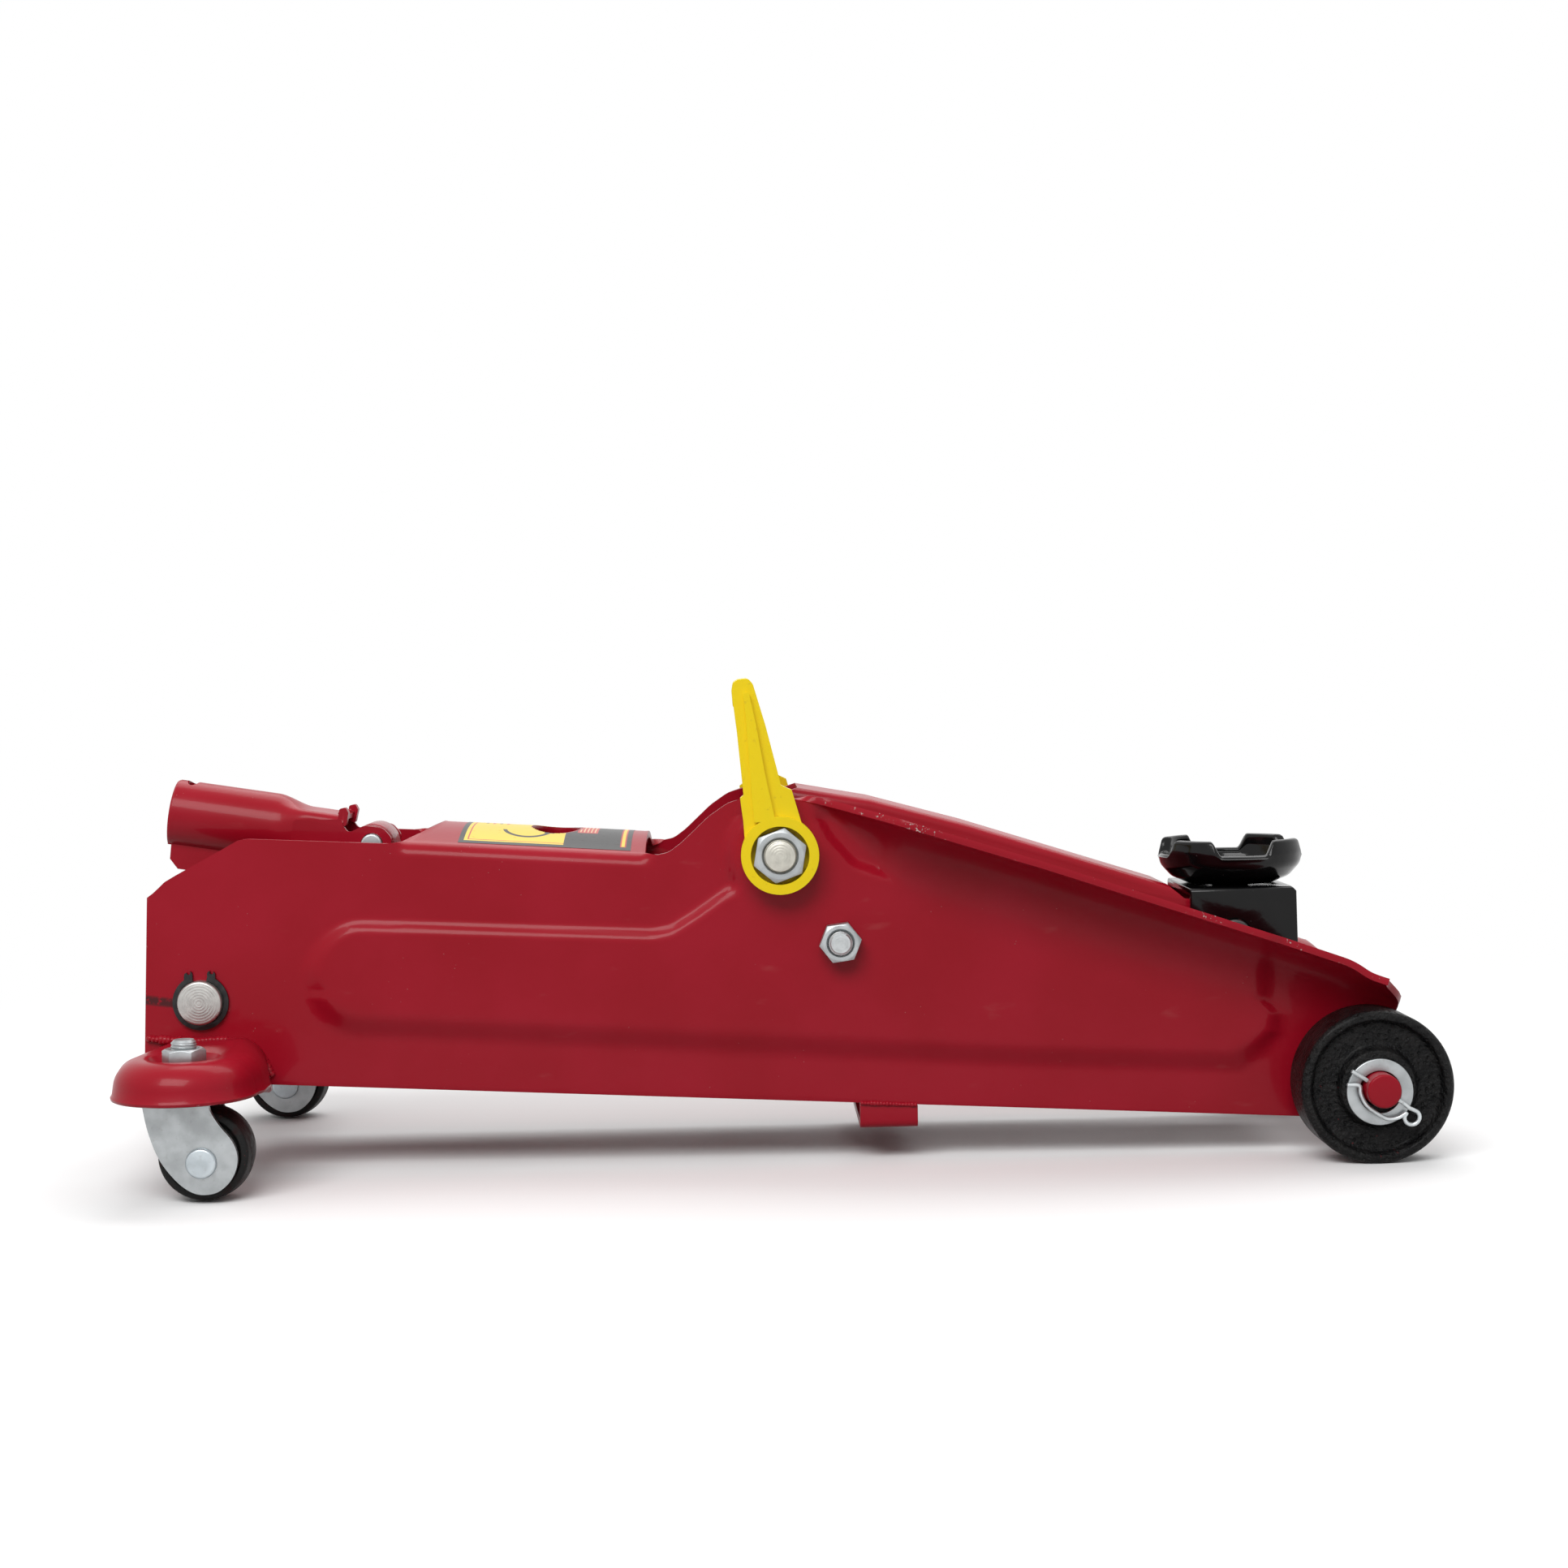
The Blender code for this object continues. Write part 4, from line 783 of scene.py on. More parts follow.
def zinc(name, bright=0.5, tint=(0.93, 0.98, 1.0)):
    """Bright zinc plate: slightly blue, clouded, with faint drawing lines and finger marks."""
    shader = Shader(name)
    cloud = shader.noise(8.0, 4)
    lines = shader.noise(1.1, 2, shader.stretch((1.0, 1.0, 0.12)))
    spots = shader.noise(2.2, 4).ramp(0.6, 0.72)
    light = colour(*(bright * t for t in tint))
    dull = colour(*(bright * 0.74 * t for t in tint))
    shade = shader.blend(cloud.ramp(0.3, 0.72), light, dull)
    shade = shader.blend(spots * 0.25, shade, colour(0.3, 0.3, 0.28))
    return shader.dress(Base_Color=shade, Metallic=0.85, Roughness=0.34 + cloud * 0.14 + spots * 0.12,
                        Normal=shader.relief(lines * 0.5 + cloud * 0.4, 0.05))


iron_finish, zinc_finish = cast_iron(), zinc("bright zinc plate")
wire_finish = zinc("zinc wire", 0.72)

axle = cross_pin("front_axle_bar", (AXLE_X, WHEEL_RADIUS), AXLE_RADIUS, AXLE_END, 1.1, plain_paint, 64, 4)
turn = math.radians(CLIP_TURN)
for side, sign in SIDES:
    leg = [(AXLE_X + u * math.cos(turn), sign * CLIP_Y, WHEEL_RADIUS - u * math.sin(turn)) for u in (-16, 16)]
    cut(axle, wire("drill", leg, CLIP_WIRE + 0.3, plain_paint, 16))
settle(axle)
fit(axle, "frame", "red_paint", "front_axle")

for side, sign in SIDES:
    outer, inner = sign * WHEEL_OUTER, sign * (WHEEL_OUTER - WHEEL_WIDTH)
    web, bore, boss, rim = outer - sign * WEB_SINK, AXLE_RADIUS + 0.4, 16.4, WHEEL_RADIUS - 4.6
    section = rounded([(bore, outer), (boss - 0.6, outer), (boss + 1.2, web), (rim - 0.8, web),
                       (rim + 0.8, outer), (WHEEL_RADIUS, outer - sign * 1.2),
                       (WHEEL_RADIUS, inner + sign * 1.0), (WHEEL_RADIUS - 3.5, inner),
                       (boss + 2, inner + sign * 1.6), (bore, inner)],
                      [0.6, 1.6, 3.0, 2.4, 2.0, 3.0, 3.0, 1.5, 1.5, 0.6], 5)
    wheel = lathe("front_wheel_cast_" + side, section, (AXLE_X, 0, WHEEL_RADIUS), "Y", iron_finish, 96, 50)
    fit(wheel, "front_wheel_" + side, "cast_iron", "front_wheel_" + side)
    start, end = outer + sign * GAP, outer + sign * (GAP + WASHER_THICK)
    section = rounded([(WASHER_HOLE, end), (WASHER_RADIUS, end), (WASHER_RADIUS, start),
                       (WASHER_HOLE, start)], [0.3, 0.45, 0.2, 0.2], 3)
    drop = WASHER_HOLE - AXLE_RADIUS - GAP
    washer = lathe("axle_washer_plated_" + side, section, (AXLE_X, 0, WHEEL_RADIUS - drop), "Y",
                   zinc_finish, 64)
    fit(washer, "frame", "zinc", "axle_washer_" + side)
    near, far = sign * (HALF_WIDTH + GAP), inner - sign * GAP
    section = rounded([(AXLE_RADIUS + GAP, far), (12, far), (12, near), (AXLE_RADIUS + GAP, near)], 0.5, 3)
    spacer = lathe("axle_spacer_turned_" + side, section, (AXLE_X, 0, WHEEL_RADIUS), "Y", plain_paint, 48)
    fit(spacer, "frame", "dark_steel", "axle_spacer_" + side)
    ring = arc((17.5, -3.2), 3.2, 105, -215, 12)[:-1]
    bends = [(-15.0, 0.0), (-6.0, 0.0), (3.0, 0.0), (11.0, 0.0), (14.2, -0.4)] + ring
    bends += [(12.4, -6.4), (8.8, -9.2), (4.0, -9.6), (-2.0, -8.9), (-6.5, -6.2), (-9.0, -3.6), (-13.5, -6.0)]
    path = []
    for i, (u, v) in enumerate(smooth_path(bends, 5)):
        lift = 1.1 * math.sin(math.pi * smooth_step(18, 85, i))
        path.append((AXLE_X + u * math.cos(turn) + v * math.sin(turn), sign * (CLIP_Y - lift),
                     WHEEL_RADIUS - u * math.sin(turn) + v * math.cos(turn)))
    clip = wire("r_clip_wire_" + side, path, CLIP_WIRE, wire_finish, 12)
    fit(clip, "frame", "zinc", "r_clip_" + side)

# ---- Casters -------------------------------------------------------------------------------------
# Each hangs under a deep-drawn dish welded to the plate. A zinc-plated fork turns on a stud, held by
# a hexagon nut in the dish, and a black wheel runs on a rivet through the fork.

CASTER_Y, SWIVEL_X, TRAIL = 101.6, -251.5, 8.5
CASTER_RADIUS, CASTER_HALF = 19.8, 10.0
DISH_RADIUS, DISH_LIP = 30.4, 43.0
FORK_TOP, FORK_HALF, FORK_SHEET, STUD_RADIUS = 43.6, 13.5, 2.5, 5.0
RIVET_X, RIVET_Z, RIVET_HEAD = SWIVEL_X + TRAIL, CASTER_RADIUS - 2.4, 6.5


def slab(name, outline, low, high, material, axis="Y", angle=35):
    """A flat outline given thickness: XZ along Y, XY along Z or YZ along X."""
    place = {"Y": lambda u, v, w: (u, w, v), "Z": lambda u, v, w: (u, v, w),
             "X": lambda u, v, w: (w, u, v)}[axis]
    work = bmesh.new()
    below = [work.verts.new(Vector(place(u, v, low)) * MM) for u, v in outline]
    above = [work.verts.new(Vector(place(u, v, high)) * MM) for u, v in outline]
    work.faces.new(below)
    work.faces.new(list(reversed(above)))
    for i in range(len(outline)):
        j = (i + 1) % len(outline)
        work.faces.new((below[i], above[i], above[j], below[j]))
    return add_solid(name, work, material, angle)


def nut(name, centre, axis, low, high, flats, bore, material, turn=0.0):
    """A hexagon nut: corners turned off at 30 degrees and a countersunk bore."""
    corner = flats / math.sqrt(3)
    hexagon = [(centre[0] + corner * math.cos(math.radians(turn + 60 * i)),
                centre[1] + corner * math.sin(math.radians(turn + 60 * i))) for i in range(6)]
    block = slab(name, hexagon, low, high, material, axis)
    middle = on_axis(axis, centre)
    slope = (corner - flats / 2 * 0.95) * 0.577
    barrel = [(0, low - 0.01), (flats / 2 * 0.95, low - 0.01), (corner + 0.01, low + slope),
              (corner + 0.01, high - slope), (flats / 2 * 0.95, high + 0.01), (0, high + 0.01)]
    cut(block, lathe("barrel", barrel, middle, axis, material, 64), "INTERSECT")
    hole = [(0, low - 1), (bore + 1.6, low - 1), (bore + 0.9, low - 0.01), (bore, low + 0.9),
            (bore, high - 0.9), (bore + 0.9, high + 0.01), (bore + 1.6, high + 1), (0, high + 1)]
    cut(block, lathe("hole", hole, middle, axis, material, 48))
    soften(block, 0.16, 2, 25)
    return settle(block)


def thread_tree():
    """A raised thread round a bolt's end: a coiled ridge with a three-sided section."""
    sizes = {"Radius": 5 * MM, "Length": 4 * MM, "Turns": 3.0, "Ridge": 0.4 * MM}
    tree, made, link, given = open_tree("thread", "Axis", sizes)
    coil, section = made("GeometryNodeCurveSpiral"), made("GeometryNodeCurvePrimitiveCircle")
    coil.inputs["Resolution"].default_value = 36
    section.inputs["Resolution"].default_value = 6
    sweep, place = made("GeometryNodeCurveToMesh"), made("GeometryNodeInstanceOnPoints")
    sweep.inputs["Fill Caps"].default_value = True
    link(given.outputs["Turns"], coil.inputs["Rotations"])
    link(given.outputs["Radius"], coil.inputs["Start Radius"])
    link(given.outputs["Radius"], coil.inputs["End Radius"])
    link(given.outputs["Length"], coil.inputs["Height"])
    link(given.outputs["Ridge"], section.inputs["Radius"])
    link(coil.outputs[0], sweep.inputs["Curve"])
    link(section.outputs[0], sweep.inputs["Profile Curve"])
    link(given.outputs["Axis"], place.inputs["Points"])
    link(sweep.outputs[0], place.inputs["Instance"])
    return close_tree(tree, given, place)


thread_coil = thread_tree()


def thread(name, base, direction, radius, length, pitch, finish, ridge=None):
    """A thread that starts at base and climbs along a direction, as plain mesh in its place."""
    ridge = ridge or pitch * 0.42
    values = {"Radius": (radius - ridge * 0.35) * MM, "Length": length * MM, "Turns": length / pitch,
              "Ridge": ridge * MM, "Finish": finish}
    piece = grow(name, [(0, 0, 0)], thread_coil, values)
    turn = Vector((0, 0, 1)).rotation_difference(Vector(direction)).to_matrix().to_4x4()
    piece.data.transform(Matrix.Translation(Vector(base) * MM) @ turn)
    return piece


def dish_ring(inset, z, drop=0.0):
    """The dish's outline from the plate's rear, round the nose and back to the plate's front."""
    reach = DISH_RADIUS - inset
    ends = HALF_WIDTH + 0.25
    rear = [(-277.0 + inset - 6.6 * t, ends + (CASTER_Y - ends) * t) for t in np.linspace(0, 1, 10)[:-1]]
    nose = [(SWIVEL_X - reach * math.cos(a), CASTER_Y + reach * math.sin(a))
            for a in np.linspace(0, math.pi, 41)]
    front = [(-219.4 - inset - 4.6 * smooth_step(0.35, 1, t), CASTER_Y - (CASTER_Y - ends) * t)
             for t in np.linspace(0, 1, 10)[1:]]
    ring = rear + nose + front
    out = []
    for u, v in ring:
        corner = smooth_step(84, 56, v) * (u > SWIVEL_X)
        out.append((u, v, z - drop * 6.0 * corner))
    return out


def dish(side, sign):
    """A drawn shell over a caster, with a seat for the race and a recess for the nut."""
    inside, turns = 3.0, np.linspace(0.12, math.pi / 2, 11)
    skirt = [(1.0, DISH_LIP, 1), (0.2, DISH_LIP + 0.4, 1), (0, DISH_LIP + 1.4, 1), (0.7, 45.6, 0.6)]
    skirt += [(12.8 - 11.6 * math.cos(a), 47.9 + 11.6 * math.sin(a), 0.3 * (1 - a)) for a in turns]
    hollow = [(inside, DISH_LIP - 8, 1), (inside + 0.7, 45.6, 0.6)]
    hollow += [(12.8 - 8.6 * math.cos(a), 47.9 + 8.6 * math.sin(a), 0.3 * (1 - a)) for a in turns]
    shell = loft("caster_dish_" + side, [[(x, sign * y, z) for x, y, z in dish_ring(*row)] for row in skirt],
                 frame_paint, 30)
    cut(shell, loft("hollow", [[(x, sign * y, z) for x, y, z in dish_ring(*row)] for row in hollow],
                    frame_paint))
    middle = (SWIVEL_X, sign * CASTER_Y, 0)
    cup = rounded([(0, 53.5), (17.5, 53.5), (17.5, 58.0), (0, 58.0)], [0, 2.0, 0, 0], 4, closed=False)
    cut(shell, lathe("seat", cup, middle, "Z", frame_paint), "UNION")
    sink = rounded([(0, 56.5), (12.4, 56.5), (14.9, 59.5), (18.0, 60.6), (18.0, 64.0), (0, 64.0)],
                   [0, 1.4, 1.2, 0, 0, 0], 4, closed=False)
    cut(shell, lathe("sink", sink, middle, "Z", frame_paint))
    drill(shell, (SWIVEL_X, sign * CASTER_Y), STUD_RADIUS + GAP, 40, 70, "Z", 64)
    mesh = shell.data
    lip = mesh.attributes.new("edge", "FLOAT", "POINT")
    heights = [p.co.z / MM for p in mesh.vertices]
    lip.data.foreach_set("value", [1.0 if h < DISH_LIP + 0.8 else 0.0 for h in heights])
    soften(shell, 0.45, 2, 42)
    settle(shell)
    return shell


def fork_outline():
    """The fork's side: upright under the race, swept back and round past the rivet."""
    return smooth_path([(-266.5, 43.6), (-266.4, 40.5), (-264.7, 31.7), (-261.5, 22.0), (-257.6, 15.2),
                        (-252.2, 8.9), (-247.0, 5.3), (-242.0, 4.2), (-236.4, 5.3), (-231.6, 9.2),
                        (-228.7, 14.7), (-228.1, 20.5), (-230.2, 26.4), (-234.8, 32.3), (-238.1, 37.5),
                        (-239.2, 40.5), (-239.2, 43.6)], 4)


def caster_rubber():
    """A hard black wheel: matt, with dust in its grain and red overspray round the tread."""
    shader = Shader("hard black wheel")
    grain, dust = shader.noise(0.9, 4), shader.noise(6.0, 4)
    powder = dust.ramp(0.5, 0.75) * 0.3
    shade = shader.blend(powder, colour(0.006, 0.006, 0.006), colour(0.06, 0.022, 0.022))
    speck = shader.noise(1.6, 3).ramp(0.7, 0.73) * 0.5
    shade = shader.blend(speck, shade, colour(0.13, 0.03, 0.03))
    return shader.dress(Base_Color=shade, Roughness=0.38 + grain * 0.2 + powder, Specular_IOR_Level=0.2,
                        Normal=shader.relief(grain * 0.7 + dust * 0.6, 0.25))


rubber_finish = caster_rubber()
rivet_finish = zinc("rivet zinc", 0.66, (0.86, 0.95, 1.0))

for side, sign in SIDES:
    centre = sign * CASTER_Y
    fit(dish(side, sign), "frame", "red_paint", "caster_bracket_" + side)
    top = [(-276.3, 61.0), (-272, 60.4), (-266, 59.9), (-255, 59.6), (-244, 59.5), (-236, 58.4),
           (-230.6, 54.6), (-226.4, 49.5), (-224.6, 44.5)]
    seam = [(u, sign * (HALF_WIDTH + 0.6), v) for u, v in top]
    weld = grow("dish_weld_" + side, seam, weld_bead, {"Width": 1.9 * MM, "Pitch": 1.6 * MM,
                                                       "Finish": plain_paint})
    fit(weld, "frame", "red_paint")
    fork = None
    for near, far in ((FORK_HALF - FORK_SHEET, FORK_HALF), (-FORK_HALF, FORK_SHEET - FORK_HALF)):
        plate = slab("caster_fork_plated_" + side, fork_outline(), centre + near, centre + far, zinc_finish)
        if fork:
            cut(fork, plate, "UNION")
        else:
            fork = plate
    crown = [(-266.5, 41.0), (-266.5, FORK_TOP), (-239.2, FORK_TOP), (-239.2, 41.0)]
    cut(fork, slab("crown", crown, centre - 12, centre + 12, zinc_finish), "UNION")
    middle = (SWIVEL_X, centre, 0)
    race = rounded([(0, 43.0), (12.0, 43.0), (12.0, 53.2), (0, 53.2)], [0, 0.5, 2.2, 0], 5, closed=False)
    cut(fork, lathe("race", race, middle, "Z", zinc_finish), "UNION")
    stud = [(0, 43.2), (STUD_RADIUS, 43.2), (STUD_RADIUS, 66.0), (STUD_RADIUS - 0.9, 67.0), (0, 67.0)]
    cut(fork, lathe("stud", stud, middle, "Z", zinc_finish), "UNION")
    drill(fork, (RIVET_X, RIVET_Z), 4.3, centre - 20, centre + 20, sides=64)
    soften(fork, 0.4, 2, 35)
    settle(fork)
    fit(fork, "caster_fork_" + side, "zinc", "caster_fork_" + side)
    coil = thread("stud_thread_" + side, (SWIVEL_X, centre, 62.4), (0, 0, 1), STUD_RADIUS, 3.4, 1.25,
                  zinc_finish)
    fit(coil, "caster_fork_" + side, "zinc")
    hexagon = nut("caster_nut_plated_" + side, (SWIVEL_X, centre), "Z", 56.8, 63.3, 16.0, STUD_RADIUS + GAP,
                  zinc_finish)
    fit(hexagon, "caster_fork_" + side, "zinc", "caster_nut_" + side)
    span = FORK_HALF
    head = rounded([(0, span + 2.1), (RIVET_HEAD - 0.5, span + 1.9), (RIVET_HEAD, span + GAP),
                    (4, span + GAP), (4, -span - GAP), (RIVET_HEAD, -span - GAP),
                    (RIVET_HEAD - 0.5, -span - 1.9), (0, -span - 2.1)],
                   [0, 1.2, 0.2, 0, 0, 0.2, 1.2, 0], 4, closed=False)
    rivet = lathe("caster_rivet_set_" + side, head, (RIVET_X, centre, RIVET_Z), "Y", rivet_finish, 48)
    fit(rivet, "caster_fork_" + side, "zinc", "caster_rivet_" + side)
    edge, rim = CASTER_HALF, CASTER_RADIUS
    tread = rounded([(6.8, edge), (9.5, edge), (10.5, edge - 1.0), (rim - 5.0, edge - 1.0), (rim - 4.0, edge),
                     (rim - 1.2, edge - 0.6), (rim, 0), (rim - 1.2, -edge + 0.6), (rim - 4.0, -edge),
                     (rim - 5.0, -edge + 1.0), (10.5, -edge + 1.0), (9.5, -edge), (6.8, -edge)],
                    [0.3, 0.5, 0.5, 0.8, 0.8, 1.8, 14, 1.8, 0.8, 0.8, 0.5, 0.5, 0.3], 5)
    wheel = lathe("caster_wheel_moulded_" + side, tread, (RIVET_X, centre, CASTER_RADIUS), "Y",
                  rubber_finish, 72, 50)
    fit(wheel, "caster_wheel_" + side, "caster_rubber", "caster_wheel_" + side)

# ---- Rear pin ------------------------------------------------------------------------------------
# A turned steel pin carries the hydraulic unit across the plates. A black spring ring with two
# pierced lugs sits in a groove at each end.

REAR_PIN, REAR_PIN_RADIUS, REAR_PIN_END = (-253.8, 76.4), 9.6, 58.0


def turned_steel(name, centre, light=0.5, tint=(1.0, 0.99, 0.95)):
    """Bright bar with the fine rings that the tool left on its end, about an axis along Y."""
    shader = Shader(name)
    offset = {"Vector": shader.place, "Location": (-centre[0] * MM, 0, -centre[1] * MM)}
    local = shader.node("ShaderNodeMapping", {}, offset)
    parts = shader.node("ShaderNodeSeparateXYZ", {}, {"Vector": local})
    u, v = parts, parts.beside("Z")
    radius = (u * u + v * v).root()
    rings = (radius * 5200).sine()
    cloud, scratch = shader.noise(3.2, 4), shader.noise(0.7, 3)
    shade = shader.blend(cloud.ramp(0.3, 0.75), colour(*(light * t for t in tint)),
                         colour(*(light * 0.78 * t for t in tint)))
    return shader.dress(Base_Color=shade, Metallic=0.9, Roughness=0.3 + cloud * 0.2,
                        Normal=shader.relief(rings * 0.35 + scratch * 0.5, 0.06))


def ring_steel():
    shader = Shader("blackened spring steel")
    cloud = shader.noise(3.0, 4)
    shade = shader.blend(cloud.ramp(0.35, 0.75), colour(0.006, 0.006, 0.007), colour(0.02, 0.018, 0.018))
    return shader.dress(Base_Color=shade, Roughness=0.3 + cloud * 0.25, Metallic=0.3,
                        Normal=shader.relief(cloud, 0.08))


pin = cross_pin("rear_pin_turned", REAR_PIN, REAR_PIN_RADIUS, REAR_PIN_END, 1.3,
                turned_steel("turned pin", REAR_PIN), 72)
fit(pin, "frame", "zinc", "rear_pin")
ring_finish = ring_steel()
for side, sign in SIDES:
    inner, outer = REAR_PIN_RADIUS + 0.25, REAR_PIN_RADIUS + 2.5
    outside, inside = arc((0, 0), outer, 108, 434, 44), arc((0, 0), inner, 434, 108, 44)
    lug_a = [(-3.2, outer), (-3.4, outer + 0.9), (-4.2, outer + 1.6), (-6.6, outer + 0.6),
             (-6.9, outer - 1.2)]
    lug_b = [(6.6, outer - 1.4), (6.6, outer + 0.4), (5.6, outer + 1.5), (3.5, outer + 1.4), (3.1, outer)]
    wings = [[(REAR_PIN[0] + u, REAR_PIN[1] + v) for u, v in lug] for lug in (lug_a, lug_b)]
    start = sign * (HALF_WIDTH + GAP)
    end = start + sign * 1.5
    ring = [(REAR_PIN[0] + u, REAR_PIN[1] + v) for u, v in outside + inside]
    clip = slab("circlip_sprung_" + side, ring, start, end, ring_finish)
    for wing in wings:
        middle_u, middle_v = np.mean(wing, axis=0)
        foot = [(middle_u - 1.6, middle_v - 3.4), (middle_u + 1.6, middle_v - 3.4)]
        blade = rounded([wing[0], wing[1], wing[2], wing[3], wing[4], foot[0], foot[1]], 0.6, 3)
        hull = sorted(blade, key=lambda p: math.atan2(p[1] - middle_v + 0.6, p[0] - middle_u))
        cut(clip, slab("lug", hull, start, end, ring_finish), "UNION")
        drill(clip, (middle_u, middle_v + 0.5), 0.85, start - sign, end + sign, sides=24)
    soften(clip, 0.18, 2, 35)
    settle(clip)
    fit(clip, "frame", "black_paint", "circlip_" + side)

# ---- Pivot and anchor bolts ----------------------------------------------------------------------
# A long plated bolt is the hinge of the lift arm, with a nut in the pocket of the carry handle each
# side. Below it a smaller bolt and nut anchors each levelling link.

HUB_RADIUS, HUB_END, HUB_FLATS = 6.8, 70.5, 21.0
ANCHOR, ANCHOR_RADIUS, ANCHOR_FLATS = (24.0, 97.1), 5.0, 16.0
RAISED = HALF_WIDTH + PANEL_RISE

hub_bolt_finish = turned_steel("bolt end", HUB, 0.56, (1.0, 0.97, 0.86))
bolt = cross_pin("pivot_bolt_plated", HUB, HUB_RADIUS, HUB_END, 1.4, hub_bolt_finish, 64, 2)
fit(bolt, "frame", "zinc", "pivot_bolt")
anchor_finish = turned_steel("anchor bolt end", ANCHOR, 0.55, (0.95, 0.99, 1.0))
for side, sign in SIDES:
    low, high = sorted((sign * (RAISED + 3.8), sign * (RAISED + 11.3)))
    hexagon = nut("pivot_nut_plated_" + side, HUB, "Y", low, high, HUB_FLATS, HUB_RADIUS + GAP, zinc_finish,
                  20)
    fit(hexagon, "frame", "zinc", "pivot_nut_" + side)
    coil = thread("pivot_thread_" + side, (HUB[0], sign * (RAISED + 10.4), HUB[1]), (0, sign, 0),
                  HUB_RADIUS, 2.2, 1.1, hub_bolt_finish, 0.42)
    fit(coil, "frame", "zinc")
    end, wall = RAISED + 10.3, RAISED - SHEET - GAP
    collar, head = 38.5 + GAP, 33.5 - GAP
    section = [(0, end), (4.2, end), (5.0, end - 0.9), (5.0, wall), (8.0, wall), (8.0, collar), (5.0, collar),
               (5.0, head), (8.5, head), (8.5, head - 3.9), (8.0, head - 4.4), (0, head - 4.4)]
    section = [(radius, sign * height) for radius, height in section]
    stub = lathe("anchor_bolt_plated_" + side, section, (ANCHOR[0], 0, ANCHOR[1]), "Y", anchor_finish, 48)
    chisel = [(ANCHOR[0] - 3.4, ANCHOR[1] + 2.6), (ANCHOR[0] + 5.5, ANCHOR[1] + 4.4),
              (ANCHOR[0] + 5.5, ANCHOR[1] + 6), (ANCHOR[0] - 3.4, ANCHOR[1] + 6)]
    near, far = sorted((sign * (end - 0.5), sign * (end + 1)))
    cut(stub, slab("flat", chisel, near, far, anchor_finish))
    settle(stub)
    fit(stub, "frame", "zinc", "anchor_bolt_" + side)
    low, high = sorted((sign * (RAISED + GAP), sign * (RAISED + GAP + 8)))
    hexagon = nut("anchor_nut_plated_" + side, ANCHOR, "Y", low, high, ANCHOR_FLATS, ANCHOR_RADIUS + GAP,
                  zinc_finish, 8)
    fit(hexagon, "frame", "zinc", "anchor_nut_" + side)
    coil = thread("anchor_thread_" + side, (ANCHOR[0], sign * (RAISED + 8.0), ANCHOR[1]), (0, sign, 0),
                  ANCHOR_RADIUS, 1.4, 0.9, anchor_finish, 0.36)
    fit(coil, "frame", "zinc")

# ---- Carry handle --------------------------------------------------------------------------------
# A yellow injection-moulded hoop that folds down on the pivot bolt: two ribbed legs with a boss
# round each nut, joined by a round grip. The plastic has a fine grain and rubbed edges.

HANDLE_LOW, HANDLE_HIGH, HANDLE_RING, HANDLE_POCKET = RAISED + 0.5, RAISED + 10.5, 16.8, 12.6


def yellow_plastic():
    shader = Shader("moulded yellow plastic")
    grain, flow = shader.noise(0.5, 3), shader.noise(24.0, 3, shader.stretch((1.0, 1.0, 0.4)))
    dirt = shader.noise(2.6, 4).ramp(0.62, 0.76) * 0.25
    shade = shader.blend(flow.ramp(0.3, 0.7), colour(0.86, 0.64, 0.0062), colour(0.8, 0.615, 0.008))
    shade = shader.blend(dirt, shade, colour(0.4, 0.24, 0.02))
    return shader.dress(Base_Color=shade, Roughness=0.34 + grain * 0.14 + dirt * 0.3, Specular_IOR_Level=0.25,
                        Subsurface_Weight=0.12, Subsurface_Radius=(0.004, 0.0028, 0.0004),
                        Subsurface_Scale=1.0,
                        Normal=shader.relief(grain * 0.5 + flow * 0.5, 0.07))


def round_edges(piece, radius, steps, chosen):
    """Rounds the edges whose middle and direction, in millimetres, pass a test."""
    work = bmesh.new()
    work.from_mesh(piece.data)
    edges = []
    for e in work.edges:
        middle = (e.verts[0].co + e.verts[1].co) / 2 / MM
        along = (e.verts[1].co - e.verts[0].co).normalized()
        if len(e.link_faces) == 2 and e.calc_face_angle(0) > 0.5 and chosen(middle, along):
            edges.append(e)
    bmesh.ops.bevel(work, geom=edges, offset=radius * MM, segments=steps, profile=0.5, affect="EDGES",
                    clamp_overlap=True)
    bmesh.ops.recalc_face_normals(work, faces=work.faces)
    work.to_mesh(piece.data)
    work.free()
    piece.data.shade_smooth()
    piece.data.set_sharp_from_angle(angle=math.radians(35))


